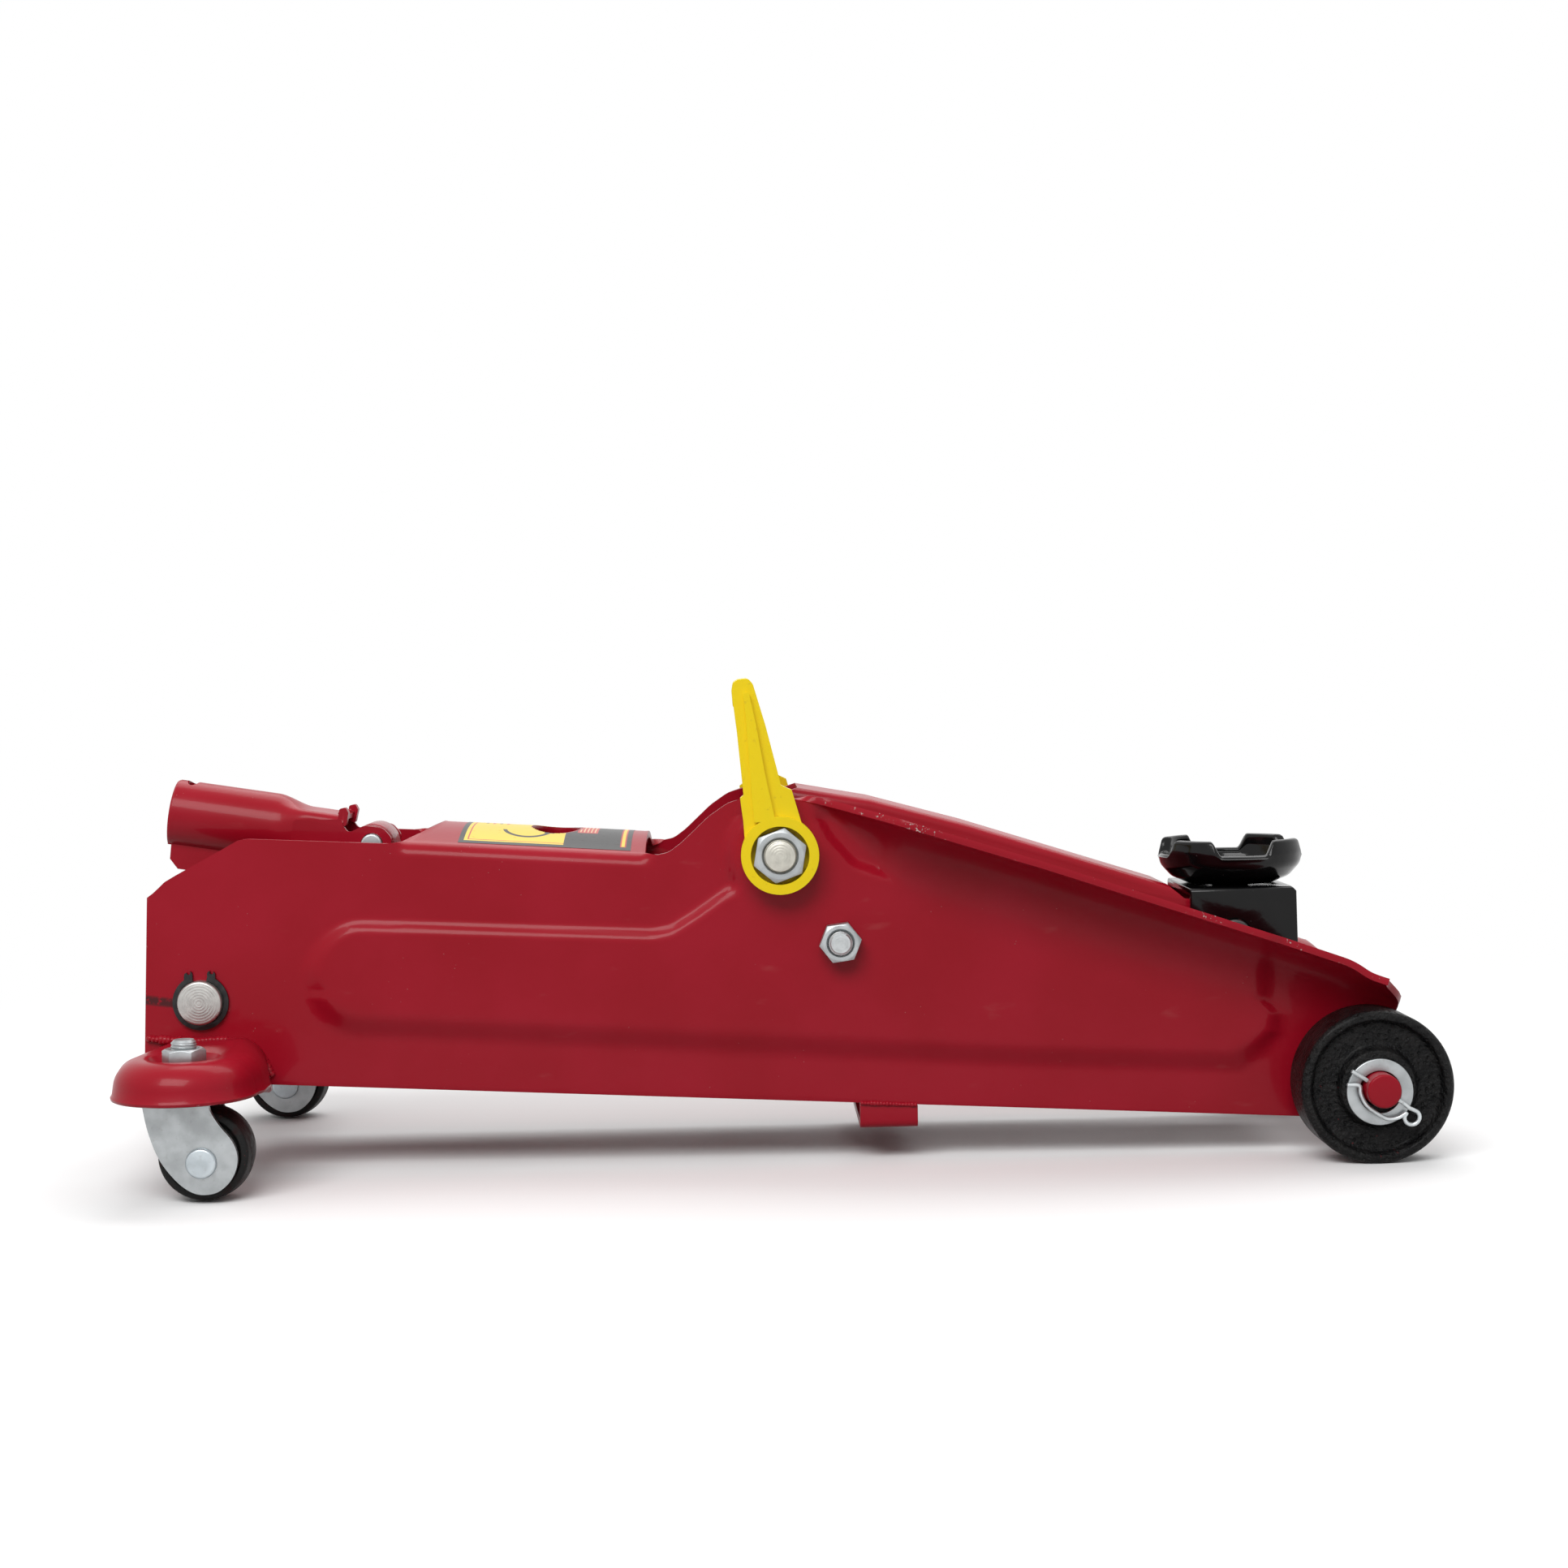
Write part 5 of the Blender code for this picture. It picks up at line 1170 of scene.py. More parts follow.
plastic = yellow_plastic()
ring = arc(HUB, HANDLE_RING, 26, -206, 48)
left = [(-16.9, 150.4), (-18.1, 160.6), (-16.6, 161.8), (-18.9, 189.0), (-20.9, 206.9), (-20.3, 210.2),
        (-18.0, 211.6), (-13.6, 212.0), (-11.6, 209.6)]
right = [(-6.5, 191.6), (-1.9, 172.4), (-0.4, 165.8), (4.2, 163.6), (8.4, 148.6)]
leg_outline = ring + rounded(left + right, [0, 0.6, 0.6, 6, 1.5, 2.0, 1.6, 2.0, 3, 8, 3, 1.2, 0.6, 0], 4,
                             closed=False)
handle = None
for side, sign in SIDES:
    low, high = sorted((sign * HANDLE_LOW, sign * (HANDLE_HIGH - 2.6)))
    leg = slab("carry_handle_moulded", leg_outline, low, high, plastic)
    handle = cut(handle, leg, "UNION") if handle else leg
    low, high = sorted((sign * HANDLE_LOW, sign * HANDLE_HIGH))
    cut(handle, cylinder("boss", HUB, HANDLE_RING, low, high, plastic, sides=72), "UNION")
    rib = [(-12.2, 150.0), (-13.4, 168.0), (-14.9, 196.0), (-16.0, 206.0), (-13.4, 206.0), (-10.6, 192.0),
           (-7.0, 170.0), (-3.2, 151.0)]
    cut(handle, slab("rib", rounded(rib, 1.0, 3), low, high, plastic), "UNION")
grip = [(-20.4, 199.5), (-20.9, 206.9), (-20.3, 210.2), (-18.0, 211.6), (-13.6, 212.0), (-11.6, 209.6),
        (-9.3, 201.5), (-12.5, 198.6), (-17.5, 198.2)]
cut(handle, slab("grip", rounded(grip, 2.2, 5), -HANDLE_LOW - 1, HANDLE_LOW + 1, plastic), "UNION")
for side, sign in SIDES:
    low, high = sorted((sign * (HANDLE_LOW + 3.0), sign * (HANDLE_HIGH + 3.0)))
    drill(handle, HUB, HANDLE_POCKET, low, high, sides=72)
drill(handle, HUB, HUB_RADIUS + GAP, -90, 90, sides=64)
soften(handle, 0.5, 3, 32)
settle(handle)
fit(handle, "carry_handle", "yellow_plastic", "carry_handle")

# ---- Lift arm ------------------------------------------------------------------------------------
# A long channel of 4 mm plate folded over a turned hub sleeve, with a short lever below that the ram
# pushes. Its pins are plain turned steel.

ARM_HALF, ARM_WALL, ARM_PIN, LEVER, LEVER_TURN = 27.5, 4.0, (201.0, 93.5), 50.0, 35.0
ARM_CREST = ((7.5, 163.0), (40.0, 157.0), (83.0, 145.0), (130.0, 129.8), (172.0, 116.2), (179.5, 109.8))
RAM_PIN = (HUB[0] - LEVER * math.sin(math.radians(LEVER_TURN)),
           HUB[1] - LEVER * math.cos(math.radians(LEVER_TURN)))
LINK_PIN = (ARM_PIN[0] + ANCHOR[0] - HUB[0], ARM_PIN[1] + ANCHOR[1] - HUB[1])


def black_oxide():
    shader = Shader("oiled dark steel")
    cloud, lines = shader.noise(6.0, 4), shader.noise(0.8, 3, shader.stretch((0.2, 1.0, 1.0)))
    rub = shader.noise(3.0, 4).ramp(0.62, 0.75) * 0.4
    shade = shader.blend(cloud.ramp(0.3, 0.7), colour(0.05, 0.05, 0.055), colour(0.1, 0.095, 0.09))
    shade = shader.blend(rub, shade, colour(0.28, 0.27, 0.26))
    return shader.dress(Base_Color=shade, Metallic=0.85, Roughness=0.38 + cloud * 0.18,
                        Normal=shader.relief(lines + cloud * 0.5, 0.06))


dark_finish = black_oxide()
tip, lobe = arc(ARM_PIN, 14.5, 70, -100, 24), arc(RAM_PIN, 13.0, -50, -190, 24)
under = smooth_path([(198.5, 79.2), (165.0, 86.5), (130.0, 97.6), (83.0, 111.8), (40.0, 116.8), (14.0, 109.0),
                     (-14.0, 88.0), (-21.7, 84.6)], 5)[1:-1]
shell = list(ARM_CREST) + tip + under + lobe + arc(HUB, 24.0, 205, 92, 22)
arm = slab("lift_arm_channel", shell, -ARM_HALF, ARM_HALF, plain_paint)
crest = [Vector((u, 0, v)) for u, v in ARM_CREST[:5]]


def on_crest(middle, along):
    if abs(abs(middle.y) - ARM_HALF) > 0.1 or abs(along.y) > 0.1:
        return False
    return any(abs((b - a).normalized().cross(Vector((middle.x, 0, middle.z)) - a).y) < 0.2
               and min(a.x, b.x) < middle.x < max(a.x, b.x) for a, b in zip(crest, crest[1:]))


round_edges(arm, 5.0, 6, on_crest)
inner = ARM_HALF - ARM_WALL
room = [(-60, 200), (7.5, 200)] + [(u, v - ARM_WALL) for u, v in ARM_CREST[:5]]
room += [(172.0, 200), (240, 200), (240, 40), (-60, 40)]
cut(arm, slab("room", room, -inner, inner, plain_paint))
for centre, radius in ((HUB, 12.0), (RAM_PIN, 7.0), (ARM_PIN, 7.0)):
    drill(arm, centre, radius + GAP, -40, 40)
soften(arm, 0.5, 2, 50)
settle(arm)
fit(arm, "lift_arm", "red_paint", "lift_arm")
reach = RAISED - SHEET - GAP
section = rounded([(HUB_RADIUS + GAP, reach), (12, reach), (12, -reach), (HUB_RADIUS + GAP, -reach)], 0.5, 2)
sleeve = lathe("hub_sleeve_turned", section, (HUB[0], 0, HUB[1]), "Y", dark_finish, 48)
fit(sleeve, "lift_arm", "dark_steel", "hub_sleeve")
for name, centre, radius, reach, finish, node, slot in (
        ("ram_cross_pin_turned", RAM_PIN, 7.0, ARM_HALF, dark_finish, "ram_cross_pin", "dark_steel"),
        ("arm_end_pin_turned", ARM_PIN, 7.0, 33.0, dark_finish, "arm_end_pin", "zinc")):
    fit(cross_pin(name, centre, radius, reach, 1, finish), "lift_arm", slot, node)

# ---- Levelling links and saddle ------------------------------------------------------------------
# Two flat bars hold a folded black bracket level as the arm climbs. A forged saddle, dipped in gloss
# black, turns on a stem in the bracket, and four notches round its rim grip the car.

LINK_NEAR, LINK_FAR, LINK_HALF = 33.5, 38.5, 9.0
BRACKET_HALF, BRACKET_WALL, BRACKET_TOP = 31.6, 3.5, 114.6
SADDLE_X, SADDLE_RADIUS, SADDLE_RIM, STEM_RADIUS = 204.8, 32.6, 135.0, 8.0
NOTCH_DEPTH, NOTCH_TOP_HALF, NOTCH_FLOOR_HALF = 6.6, 14.4, 9.8


def gloss_black(name):
    """A thick dipped coat: dark, wet-looking, with lazy orange peel and dust caught in it."""
    shader = Shader(name)
    peel, dust = shader.noise(4.5, 2), shader.cells(2.6)
    speck = (1 - dust.ramp(0.05, 0.1)) * shader.noise(14, 2).ramp(0.55, 0.62)
    haze = shader.noise(18, 4).ramp(0.45, 0.75) * 0.3
    shade = shader.blend(haze, colour(0.0022, 0.0022, 0.0025), colour(0.012, 0.0115, 0.0115))
    shade = shader.blend(speck * 0.5, shade, colour(0.11, 0.1, 0.095))
    return shader.dress(Base_Color=shade, Roughness=0.13 + haze * 0.28,
                        Specular_IOR_Level=0.2, Coat_Weight=0.12, Coat_Roughness=0.06,
                        Normal=shader.relief(peel + speck * 0.3, 0.09))


black_finish = gloss_black("dipped gloss black")
slope = math.degrees(math.atan2(LINK_PIN[1] - ANCHOR[1], LINK_PIN[0] - ANCHOR[0]))
bar = arc(ANCHOR, LINK_HALF, slope + 270, slope + 90, 20)
bar += arc(LINK_PIN, LINK_HALF, slope + 90, slope - 90, 20)
for side, sign in SIDES:
    low, high = sorted((sign * LINK_NEAR, sign * LINK_FAR))
    link = slab("link_bar_cut_" + side, bar, low, high, dark_finish)
    for centre, radius in ((ANCHOR, 5.3), (LINK_PIN, 5.8)):
        drill(link, centre, radius, -60, 60, sides=40)
    soften(link, 0.5, 2)
    settle(link)
    fit(link, "link_bars", "dark_steel", "link_bar_" + side)
pin = cross_pin("link_pin_turned", LINK_PIN, 5.5, LINK_FAR + 2, 1, dark_finish, 40)
fit(pin, "saddle_bracket", "dark_steel", "link_pin")

low_arc = arc(LINK_PIN, 9.6, 8, -150, 20)
side_shape = [(181.4, BRACKET_TOP), (227.0, BRACKET_TOP), (228.7, 112.6), (229.2, 84.0),
              (233.0, 70.0)] + low_arc + [(188.0, 80.0), (181.4, 90.0)]
bracket = slab("saddle_bracket_folded", side_shape, -BRACKET_HALF, BRACKET_HALF, black_finish)
round_edges(bracket, 4.5, 6, lambda m, a: abs(m.z - BRACKET_TOP) < 0.2 and abs(a.x) > 0.9)
round_edges(bracket, 2.5, 4, lambda m, a: abs(a.y) > 0.9 and m.z > 107 and m.x > 220)
inner, top = BRACKET_HALF - BRACKET_WALL, BRACKET_TOP - BRACKET_WALL
cut(bracket, slab("room", rounded([(170, top), (250, top), (250, 30), (170, 30)], 0), -inner, inner,
                  black_finish))
for centre, radius in ((ARM_PIN, 7.3), (LINK_PIN, 5.8)):
    drill(bracket, centre, radius, -60, 60)
drill(bracket, (SADDLE_X, 0), STEM_RADIUS + GAP, 100, 125, "Z")
soften(bracket, 0.6, 3, 50)
settle(bracket)
fit(bracket, "saddle_bracket", "black_paint", "saddle_bracket")

bottom = BRACKET_TOP + GAP
cup = [(0, bottom + 4), (15.5, bottom + 4), (22.0, bottom + 5.0), (26.2, bottom + 9.5),
       (27.6, SADDLE_RIM - 5), (27.4, SADDLE_RIM), (SADDLE_RADIUS - 1.2, SADDLE_RIM),
       (SADDLE_RADIUS, SADDLE_RIM - 5.5),
       (SADDLE_RADIUS - 1.0, SADDLE_RIM - 11.5), (SADDLE_RADIUS - 6.0, bottom + 3.0), (19.5, bottom),
       (STEM_RADIUS, bottom), (STEM_RADIUS, 103.0), (0, 103.0)]
cup = rounded(cup, [0, 2, 4, 6, 3, 2.2, 2.2, 6, 7, 7, 3, 0.6, 1.2, 0], 7, closed=False)
saddle = lathe("saddle_forged", cup, (SADDLE_X, 0, 0), "Z", black_finish, 216, 50)
for vertex in saddle.data.vertices:
    u, v, height = vertex.co.x / MM - SADDLE_X, vertex.co.y / MM, vertex.co.z / MM
    aslant = math.atan2(v, u) - math.radians(2)
    across = math.hypot(u, v) * math.sin((aslant + math.pi / 4) % (math.pi / 2) - math.pi / 4)
    sunk = NOTCH_DEPTH * float(smooth_step(NOTCH_TOP_HALF, NOTCH_FLOOR_HALF, abs(across)))
    sunk = sunk * float(smooth_step(SADDLE_RIM - 9.5, SADDLE_RIM, height))
    if math.hypot(u, v) > 22:
        vertex.co.z = (height - sunk) * MM
fit(saddle, "saddle", "black_paint", "saddle_cup")
section = rounded([(STEM_RADIUS + GAP, 110.6), (12.5, 110.6), (12.5, 108.8), (STEM_RADIUS + GAP, 108.8)],
                  0.3, 2)
keeper = lathe("saddle_ring_sprung", section, (SADDLE_X, 0, 0), "Z", ring_finish, 40)
fit(keeper, "saddle", "dark_steel", "saddle_retaining_ring")

# ---- Handle socket -------------------------------------------------------------------------------
# One plate wrapped into a tube for the pump handle, with a keyhole for its spring catch, and opened
# out in front into a channel that rocks on a pin and presses a roller on the pump.

SOCKET_PIVOT, SOCKET_TILT, SOCKET_RADIUS, SOCKET_WALL = (-183.0, 141.3), 9.3, 15.5, 2.2
SOCKET_NECK, SOCKET_END, SOCKET_HALF = 28.0, 92.0, 18.0
ROLLER, ROLLER_RADIUS = (-207.0, 134.3), 5.0
socket_turn = (Matrix.Translation(Vector((SOCKET_PIVOT[0], 0, SOCKET_PIVOT[1])) * MM)
               @ Matrix.Rotation(math.radians(SOCKET_TILT), 4, "Y") @ Matrix.Rotation(math.pi, 4, "Z"))


def socket_ring(s):
    """Half of the wrapped sheet's outer line at a distance from the pivot, from the seam up to the crown."""
    radius, half = SOCKET_RADIUS, SOCKET_HALF
    leg, crown, corner = 8.2, 10.8, 4.0
    meet = math.asin(leg / radius)
    join = -radius * math.cos(meet)
    foot = np.interp(s, (86.0, 90.0, 90.3), (-24.0, -20.0, join - 0.4))
    tube = [(leg, v) for v in np.linspace(foot, join, 8)]
    tube += [(radius * math.sin(a), -radius * math.cos(a)) for a in np.linspace(meet, math.pi, 34)[1:]]
    flank = [(half, v) for v in np.linspace(-17.0, crown - corner, 24)]
    flank += [(half - corner + corner * math.cos(a), crown - corner + corner * math.sin(a))
              for a in np.linspace(0, math.pi / 2, 8)[1:]]
    flank += [(v, crown) for v in np.linspace(half - corner, 0, 11)[1:]]
    spread = float(smooth_step(SOCKET_NECK, 47.0, s))
    return [(fy + (ty - fy) * spread, fz + (tz - fz) * spread) for (ty, tz), (fy, fz) in zip(tube, flank)]


def wrapped_socket():
    """The sheet swept through the rings, given its thickness inwards. It lies along X from the pivot."""
    stations = np.concatenate([np.linspace(14.0, 27.0, 8), np.linspace(28.0, 47.0, 22),
                               np.linspace(50.0, 86.0, 20),
                               [88.0, 90.0, 90.3, 91.2, 91.7, SOCKET_END]])
    rows = []
    for s in stations:
        ring = socket_ring(s)
        pull = 0.5 * float(smooth_step(91.2, 92.0, s))
        full = [(s, -y * (1 - pull / 15), z - pull * (z > 0)) for y, z in ring]
        full += [(s, y * (1 - pull / 15), z - pull * (z > 0)) for y, z in reversed(ring[:-1])]
        rows.append(full)
    grid = np.array(rows)
    mesh = grid_mesh("handle_socket_wrapped", grid[:, :, 0], grid[:, :, 1], grid[:, :, 2],
                     np.ones((grid.shape[0] - 1, grid.shape[1] - 1), bool))
    clean(mesh, outwards=False)
    edge = mesh.attributes.new("edge", "FLOAT", "POINT")
    edge.data.foreach_set("value", [0.5 * (p.co.x / MM > 91) for p in mesh.vertices])
    work = bmesh.new()
    work.from_mesh(mesh)
    crown = max(work.faces, key=lambda f: f.calc_center_median().z)
    if crown.normal.z < 0:
        bmesh.ops.reverse_faces(work, faces=work.faces)
    work.to_mesh(mesh)
    work.free()
    piece = add_piece("handle_socket_wrapped", mesh, frame_paint)
    wall = piece.modifiers.new("sheet", "SOLIDIFY")
    wall.thickness = SOCKET_WALL * MM
    wall.offset = -1
    wall.use_even_offset = True
    settle(piece)
    return piece


socket = wrapped_socket()
cheek = rounded([(-8.5, -3.0), (-4.0, -8.5), (10.0, -11.0), (14.0, -17.0), (34.0, -17.0), (36.0, -10.0),
                 (36.0, 6.0), (17.0, 8.8), (15.2, 9.4), (13.6, 6.2), (11.0, 3.6), (4.5, 7.8),
                 (-4.0, 7.8), (-8.5, 4.0)],
                [5, 5, 4, 4, 4, 2, 2, 1, 1.5, 1.5, 2, 4, 4, 4], 4)
for side, sign in SIDES:
    low, high = sorted((sign * (SOCKET_HALF - SOCKET_WALL + 0.04), sign * (SOCKET_HALF - 0.04)))
    cut(socket, slab("cheek", cheek, low, high, frame_paint), "UNION")
    hook = rounded([(12.6, 6.0), (16.5, 7.0), (16.5, 13.6), (13.8, 14.6), (12.2, 12.4)], 1.0, 3)
    low, high = sorted((sign * (SOCKET_HALF - 5.2), sign * (SOCKET_HALF - 0.5)))
    cut(socket, slab("hook", hook, low, high, frame_paint), "UNION")
keyhole = [(85.4 + 2.6 * math.cos(a), 6.4 * math.sin(a)) for a in np.radians(np.linspace(11, 349, 28))]
keyhole += [(97.0, -1.25), (97.0, 1.25)]
cut(socket, slab("keyhole", keyhole, 8, 20, frame_paint, "Z"))
drill(socket, (0, 0), 5.0, -30, 30, sides=40)
socket.data.transform(socket_turn)
drill(socket, ROLLER, 3.3, -30, 30, sides=32)
soften(socket, 0.35, 2, 40)
settle(socket)
fit(socket, "handle_socket", "red_paint", "handle_socket")
reach, span = SOCKET_HALF + 1, SOCKET_HALF - SOCKET_WALL - GAP
section = rounded([(0, reach), (3.0, reach), (3.0, span), (ROLLER_RADIUS, span),
                   (ROLLER_RADIUS, -span), (3.0, -span), (3.0, -reach), (0, -reach)],
                  [0, 0.5, 0.1, 0.5, 0.5, 0.1, 0.5, 0], 2, closed=False)
roller = lathe("pump_roller_turned", section, (ROLLER[0], 0, ROLLER[1]), "Y", zinc_finish, 40)
fit(roller, "handle_socket", "zinc", "pump_roller")
pin = cross_pin("socket_pin_turned", SOCKET_PIVOT, 4.7, SOCKET_HALF + 2, 0.9, zinc_finish, 40)
fit(pin, "frame", "zinc", "socket_pivot_pin")
for side, sign in SIDES:
    toe = [(13.8 + 0.5 * i, sign * (SOCKET_HALF - 3.5 - 0.9 * i), 10.9) for i in range(7)]
    bead = grow("socket_weld_" + side, toe, weld_bead, {"Width": 1.2 * MM, "Pitch": 1.1 * MM,
                                                        "Finish": plain_paint})
    bead.data.transform(socket_turn)
    fit(bead, "handle_socket", "red_paint")

# ---- Pump block ----------------------------------------------------------------------------------
# A cast steel block hangs on the rear pin between the plates. It holds the hand pump, the release
# valve and an overload plug, and an ear on top carries the handle socket. Sprayed red.

BLOCK_HALF, BLOCK_TOP, VALVE_SEAT, VALVE_Z = 30.0, 112.0, -236.0, 101.0
TUBE_REAR, TUBE_FRONT, TUBE_RADIUS, RAM_Z, RAM_RADIUS = -150.0, -72.0, 26.0, 89.5, 12.0
PLUNGER_X, PLUNGER_RADIUS, OVERLOAD = -207.0, 6.0, (-200.0, 84.0)


def cast_paint():
    """Red enamel over a sand-cast skin."""
    shader = Shader("enamel on casting")
    skin, lumps = shader.noise(1.6, 5), shader.noise(9.0, 3)
    shade = shader.blend(lumps.ramp(0.3, 0.72), colour(0.21, 0.006, 0.013), colour(0.33, 0.0115, 0.026))
    grime = shader.noise(12.0, 4).ramp(0.56, 0.76) * 0.35
    shade = shader.blend(grime, shade, colour(0.06, 0.02, 0.018))
    return shader.dress(Base_Color=shade, Roughness=0.34 + skin * 0.14 + grime * 0.3, Coat_Weight=0.3,
                        Normal=shader.relief(skin * 0.8 + lumps * 0.6, 0.5))


casting = cast_paint()
lug = arc(REAR_PIN, 15.0, 110, 250, 24)
shape = [(-224.0, BLOCK_TOP), (VALVE_SEAT, BLOCK_TOP - 2), (VALVE_SEAT, 92.0)] + lug
shape += [(VALVE_SEAT, 60.0), (TUBE_REAR, 60.0), (TUBE_REAR, BLOCK_TOP)]
block = slab("pump_block_cast", shape, -BLOCK_HALF, BLOCK_HALF, casting)
round_edges(block, 3.0, 4, lambda m, a: abs(abs(m.y) - BLOCK_HALF) < 0.1 and m.x < -151)
ear = [(-197.0, BLOCK_TOP - 2)] + arc(SOCKET_PIVOT, 9.0, 170, 10, 24) + [(-165.0, BLOCK_TOP - 2)]
ear_piece = slab("ear", ear, -12, 12, casting)
round_edges(ear_piece, 1.6, 3, lambda m, a: abs(abs(m.y) - 12) < 0.1)
cut(block, ear_piece, "UNION")
drill(block, REAR_PIN, 9.9, -40, 40)
drill(block, SOCKET_PIVOT, 5.0, -20, 20)
drill(block, (PLUNGER_X, 0), 6.4, 78, 130, "Z")
drill(block, (0, VALVE_Z), 5.4, VALVE_SEAT - 5, VALVE_SEAT + 10, "X")
drill(block, OVERLOAD, 5.3, -40, -22)
soften(block, 0.5, 2, 50)
settle(block)
fit(block, "frame", "red_paint", "pump_block")

plug_top = -BLOCK_HALF - 4.5
plug = nut("overload_plug_plated", OVERLOAD, "Y", plug_top, -BLOCK_HALF - GAP, 12.1, 2.4, zinc_finish)
section = [(0, plug_top + 1.2), (3.4, plug_top + 1.2), (3.4, -BLOCK_HALF - 1.0), (4.8, -BLOCK_HALF - 1.0),
           (4.8, -BLOCK_HALF + 6), (0, -BLOCK_HALF + 6)]
cut(plug, lathe("shank", section, (OVERLOAD[0], 0, OVERLOAD[1]), "Y", zinc_finish, 40), "UNION")
settle(plug)
fit(plug, "frame", "zinc", "overload_plug")

# ---- Hand pump -----------------------------------------------------------------------------------
# A ground and chromed plunger slides in a plated gland, under a coil spring that lifts it back.

GLAND_TOP, HEAD_TOP = BLOCK_TOP + 5.0, 129.0


def chrome():
    shader = Shader("ground chrome")
    ring, cloud = shader.noise(0.6, 2, shader.stretch((0.15, 0.15, 1.0))), shader.noise(9.0, 3)
    oil = cloud.ramp(0.55, 0.75) * 0.3
    shade = shader.blend(oil, colour(0.68, 0.69, 0.7), colour(0.45, 0.4, 0.3))
    return shader.dress(Base_Color=shade, Metallic=1.0, Roughness=0.1 + ring * 0.08 + oil * 0.25,
                        Normal=shader.relief(ring, 0.02))


chrome_finish = chrome()
section = rounded([(PLUNGER_RADIUS + 0.4, GLAND_TOP), (9.4, GLAND_TOP), (9.4, BLOCK_TOP + GAP),
                   (PLUNGER_RADIUS + 0.4, BLOCK_TOP + GAP)], [0.5, 0.9, 0.3, 0.2], 3)
gland = lathe("plunger_gland_turned", section, (PLUNGER_X, 0, 0), "Z", zinc_finish, 48)
fit(gland, "frame", "zinc", "plunger_gland")
section = rounded([(0, HEAD_TOP), (9.5, HEAD_TOP), (9.5, HEAD_TOP - 3), (6.0, HEAD_TOP - 3),
                   (6.0, 80.0), (0, 80.0)], [0, 0.8, 0.4, 0.4, 0.8, 0], 3, closed=False)
plunger = lathe("pump_plunger_ground", section, (PLUNGER_X, 0, 0), "Z", chrome_finish, 48)
fit(plunger, "plunger", "chrome", "pump_plunger")
spring_low, spring_high = GLAND_TOP + GAP, HEAD_TOP - 3 - GAP
coil = thread("plunger_spring_coiled", (PLUNGER_X, 0, spring_low + 0.8), (0, 0, 1), 8.2 + 0.28,
              spring_high - spring_low - 1.6, (spring_high - spring_low - 1.6) / 3, dark_finish, 0.8)
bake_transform(coil)
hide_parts("plunger_spring")

# ---- Reservoir and ram ---------------------------------------------------------------------------
# A drawn tube holds the oil round the cylinder, screwed up by a knurled gland nut. The chromed ram
# pushes a plain steel head against the lever of the lift arm.

section = rounded([(12.4, TUBE_FRONT), (TUBE_RADIUS, TUBE_FRONT), (TUBE_RADIUS, TUBE_REAR + GAP),
                   (12.4, TUBE_REAR + GAP)], [0.4, 3.5, 0.5, 0.4], 5)
tube = lathe("reservoir_tube_drawn", section, (0, 0, RAM_Z), "X", plain_paint, 80)
fit(tube, "frame", "red_paint", "reservoir_tube")
section = rounded([(12.4, TUBE_FRONT + 10), (17.4, TUBE_FRONT + 10), (18.5, TUBE_FRONT + 8.6),
                   (18.5, TUBE_FRONT + GAP), (12.4, TUBE_FRONT + GAP)], [0.5, 0.8, 0.8, 0.4, 0.2], 3)
gland = lathe("ram_gland_turned", section, (0, 0, RAM_Z), "X", dark_finish, 64)
for i in range(4):
    a = math.radians(45 + 90 * i)
    tool = cylinder("tommy", (0, 0), 1.9, 14.5, 20, dark_finish, "Z", 24)
    place = Matrix.Translation(Vector((TUBE_FRONT + 5.6, 0, RAM_Z)) * MM)
    tool.data.transform(place @ Matrix.Rotation(a, 4, "X"))
    cut(gland, tool)
settle(gland)
fit(gland, "frame", "dark_steel", "ram_gland_nut")
face = RAM_PIN[0] - 7.0 - 1.1
head = face - 9.0
section = rounded([(0, head - GAP), (RAM_RADIUS, head - GAP), (RAM_RADIUS, TUBE_REAR + 6),
                   (0, TUBE_REAR + 6)], [0, 0.8, 0.8, 0], 3, closed=False)
rod = lathe("ram_rod_chromed", section, (0, 0, RAM_Z), "X", chrome_finish, 64)
fit(rod, "ram", "chrome", "ram_rod")
shape = [(head, RAM_Z - 12), (head + 3, RAM_Z - 15), (face, RAM_Z - 15), (face, RAM_Z + 15),
         (head + 3, RAM_Z + 15), (head, RAM_Z + 12)]
ram_head = slab("ram_head_milled", shape, -15, 15, dark_finish)
soften(ram_head, 0.8, 3)
settle(ram_head)
fit(ram_head, "ram", "dark_steel", "ram_head")
top = RAM_Z + TUBE_RADIUS
section = rounded([(0, top + 6), (6, top + 6), (6, top + GAP), (0, top + GAP)], [0, 1.4, 0.3, 0], 4,
                  closed=False)
filler = lathe("filler_plug_moulded", section, (SLOT_X, 0, 0), "Z", rubber_finish, 40)
fit(filler, "frame", "caster_rubber", "filler_plug")

# ---- Release valve -------------------------------------------------------------------------------
# A plated spindle screws into the back of the block, with a cross pin that the handle's end turns.

low = VALVE_SEAT - 26.0
section = [(0, low), (4.2, low), (5.0, low + 0.9), (5.0, VALVE_SEAT - 4.3), (7.4, VALVE_SEAT - 4.3),
           (8.0, VALVE_SEAT - 3.7), (8.0, VALVE_SEAT - GAP), (5.0, VALVE_SEAT - GAP), (5.0, VALVE_SEAT + 7.2),
           (4.2, VALVE_SEAT + 8.0), (0, VALVE_SEAT + 8.0)]
spindle = lathe("release_valve_turned", section, (0, 0, VALVE_Z), "X", zinc_finish, 48)
cut(spindle, cross_pin("cross", (low + 6, VALVE_Z), 2, 9, 0.5, zinc_finish, 28), "UNION")
settle(spindle)
fit(spindle, "release_valve", "zinc", "release_valve")

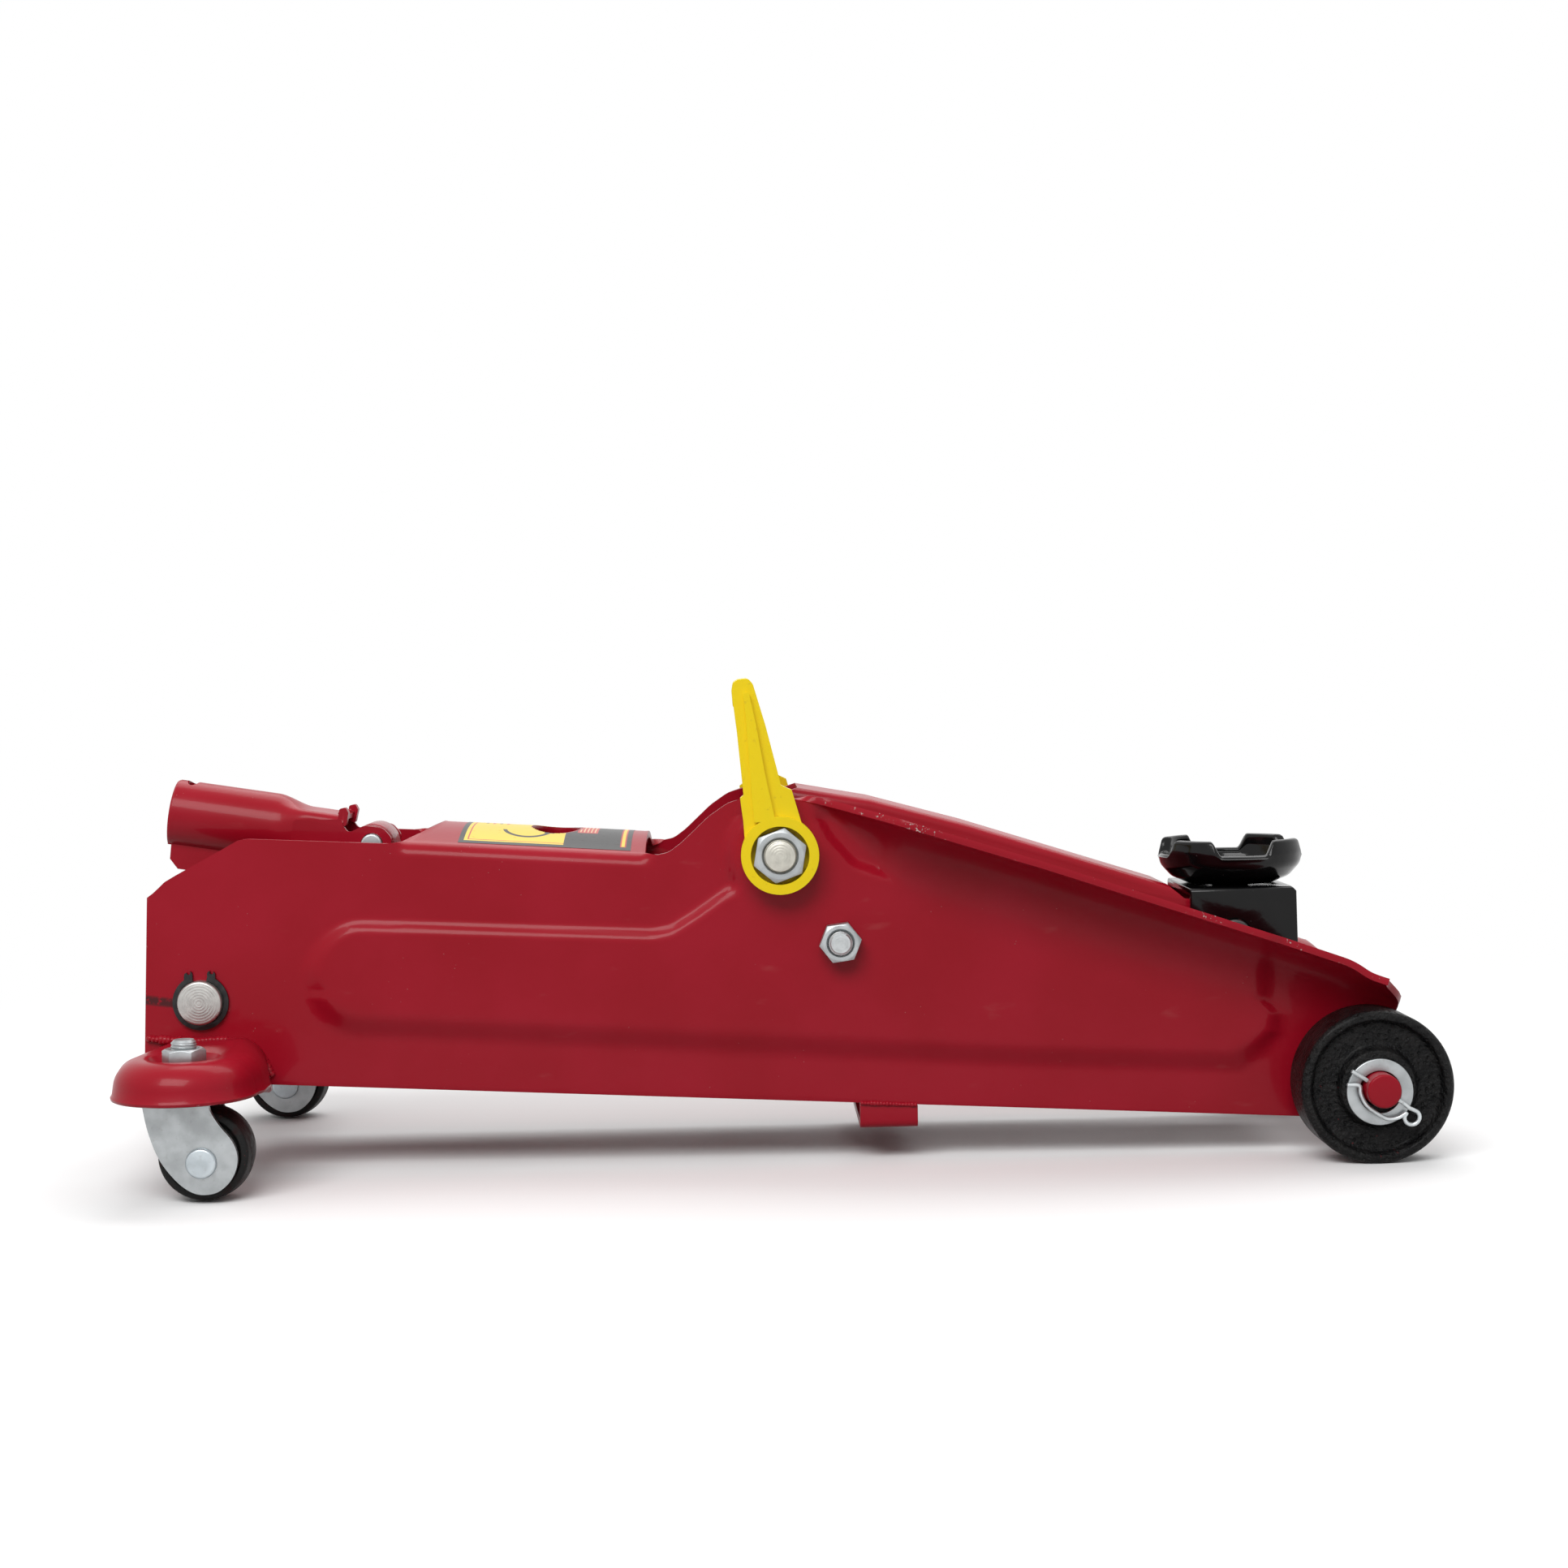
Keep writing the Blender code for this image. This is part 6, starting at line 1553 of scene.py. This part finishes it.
# ---- Studio --------------------------------------------------------------------------------------
# A pale floor under soft lamps, with a long lens at the height of a crouching eye.


def add_floor():
    """A pale floor that keeps the shadow, and turns plain white away from the jack for the lens."""
    shader = Shader("studio floor")
    parts = shader.node("ShaderNodeSeparateXYZ", {}, {"Vector": shader.place})
    u, v = parts, parts.beside("Y")
    away = (u * u + v * v).root()
    rays = shader.node("ShaderNodeLightPath", {}, {}, "Is Camera Ray")
    seen = rays.largest(rays.beside("Is Transmission Ray")).largest(rays.beside("Is Glossy Ray"))
    white = shader.node("ShaderNodeEmission", {}, {"Color": colour(1, 1, 1), "Strength": 1.0})
    tone = shader.blend(rays.beside("Is Diffuse Ray"), colour(0.9, 0.9, 0.9), colour(0.3, 0.3, 0.3))
    shader.dress(Base_Color=tone, Roughness=0.75, Specular_IOR_Level=0.1)
    shown = {0: away.ramp(0.34, 0.85) * seen, 1: Wire(shader, shader.surface.outputs[0]), 2: white}
    both = shader.node("ShaderNodeMixShader", {}, shown)
    shader.join(shader.tree.nodes["Material Output"].inputs["Surface"], both)
    floor = bpy.data.meshes.new("floor")
    floor.from_pydata([(-6, -6, 0), (6, -6, 0), (6, 6, 0), (-6, 6, 0)], [], [(0, 1, 2, 3)])
    ground = bpy.data.objects.new("floor", floor)
    bpy.context.scene.collection.objects.link(ground)
    floor.materials.append(shader.material)


def add_lamp(name, place, aim, size, power):
    light = bpy.data.lights.new(name, "AREA")
    light.shape = "RECTANGLE"
    light.size, light.size_y = size
    light.energy = power
    lamp = bpy.data.objects.new(name, light)
    bpy.context.scene.collection.objects.link(lamp)
    lamp.location = place
    lamp.rotation_euler = (Vector(aim) - Vector(place)).to_track_quat("-Z", "Y").to_euler()


def add_camera():
    """A 60 mm lens beside the jack, turned by its yaw, pitch and roll."""
    lens = bpy.data.cameras.new("camera")
    lens.sensor_width = 36
    lens.lens = 60.24
    eye = bpy.data.objects.new("camera", lens)
    bpy.context.scene.collection.objects.link(eye)
    yaw, pitch, roll = math.radians(1.048), math.radians(2.46), math.radians(-1.16)
    ahead = Vector((math.sin(yaw) * math.cos(pitch), math.cos(yaw) * math.cos(pitch), -math.sin(pitch)))
    across = Vector((math.cos(yaw), -math.sin(yaw), 0))
    above = across.cross(ahead)
    right = across * math.cos(roll) + above * math.sin(roll)
    up = above * math.cos(roll) - across * math.sin(roll)
    turn = Matrix((right, up, -ahead)).transposed()
    eye.matrix_world = Matrix.Translation((-0.0197, -1.1915, 0.2148)) @ turn.to_4x4()
    bpy.context.scene.camera = eye


add_floor()
add_camera()
add_lamp("key", (-0.5, -1.55, 1.55), (0, 0, 0.08), (1.5, 1.0), 34)
add_lamp("top", (0.3, 0.95, 1.75), (0, 0, 0.1), (2.0, 1.4), 20)
world = bpy.data.worlds.new("studio")
room = Shader("studio", world)
seen_by = room.node("ShaderNodeLightPath", {}, {}, "Is Camera Ray")
direct = seen_by.largest(seen_by.beside("Is Transmission Ray"))
towards = room.node("ShaderNodeTexCoord", {}, {}, "Generated")
parts = room.node("ShaderNodeSeparateXYZ", {}, {"Vector": towards})
to_sky = parts.beside("Z")
level = direct.largest(seen_by.beside("Is Glossy Ray")).largest(0.2 + to_sky.ramp(-0.2, 0.9) * 0.4)
room.join(room.tree.nodes["Background"].inputs["Color"], colour(1, 1, 1))
room.join(room.tree.nodes["Background"].inputs["Strength"], level)
bpy.context.scene.world = world
bpy.context.scene.view_settings.view_transform = "Standard"
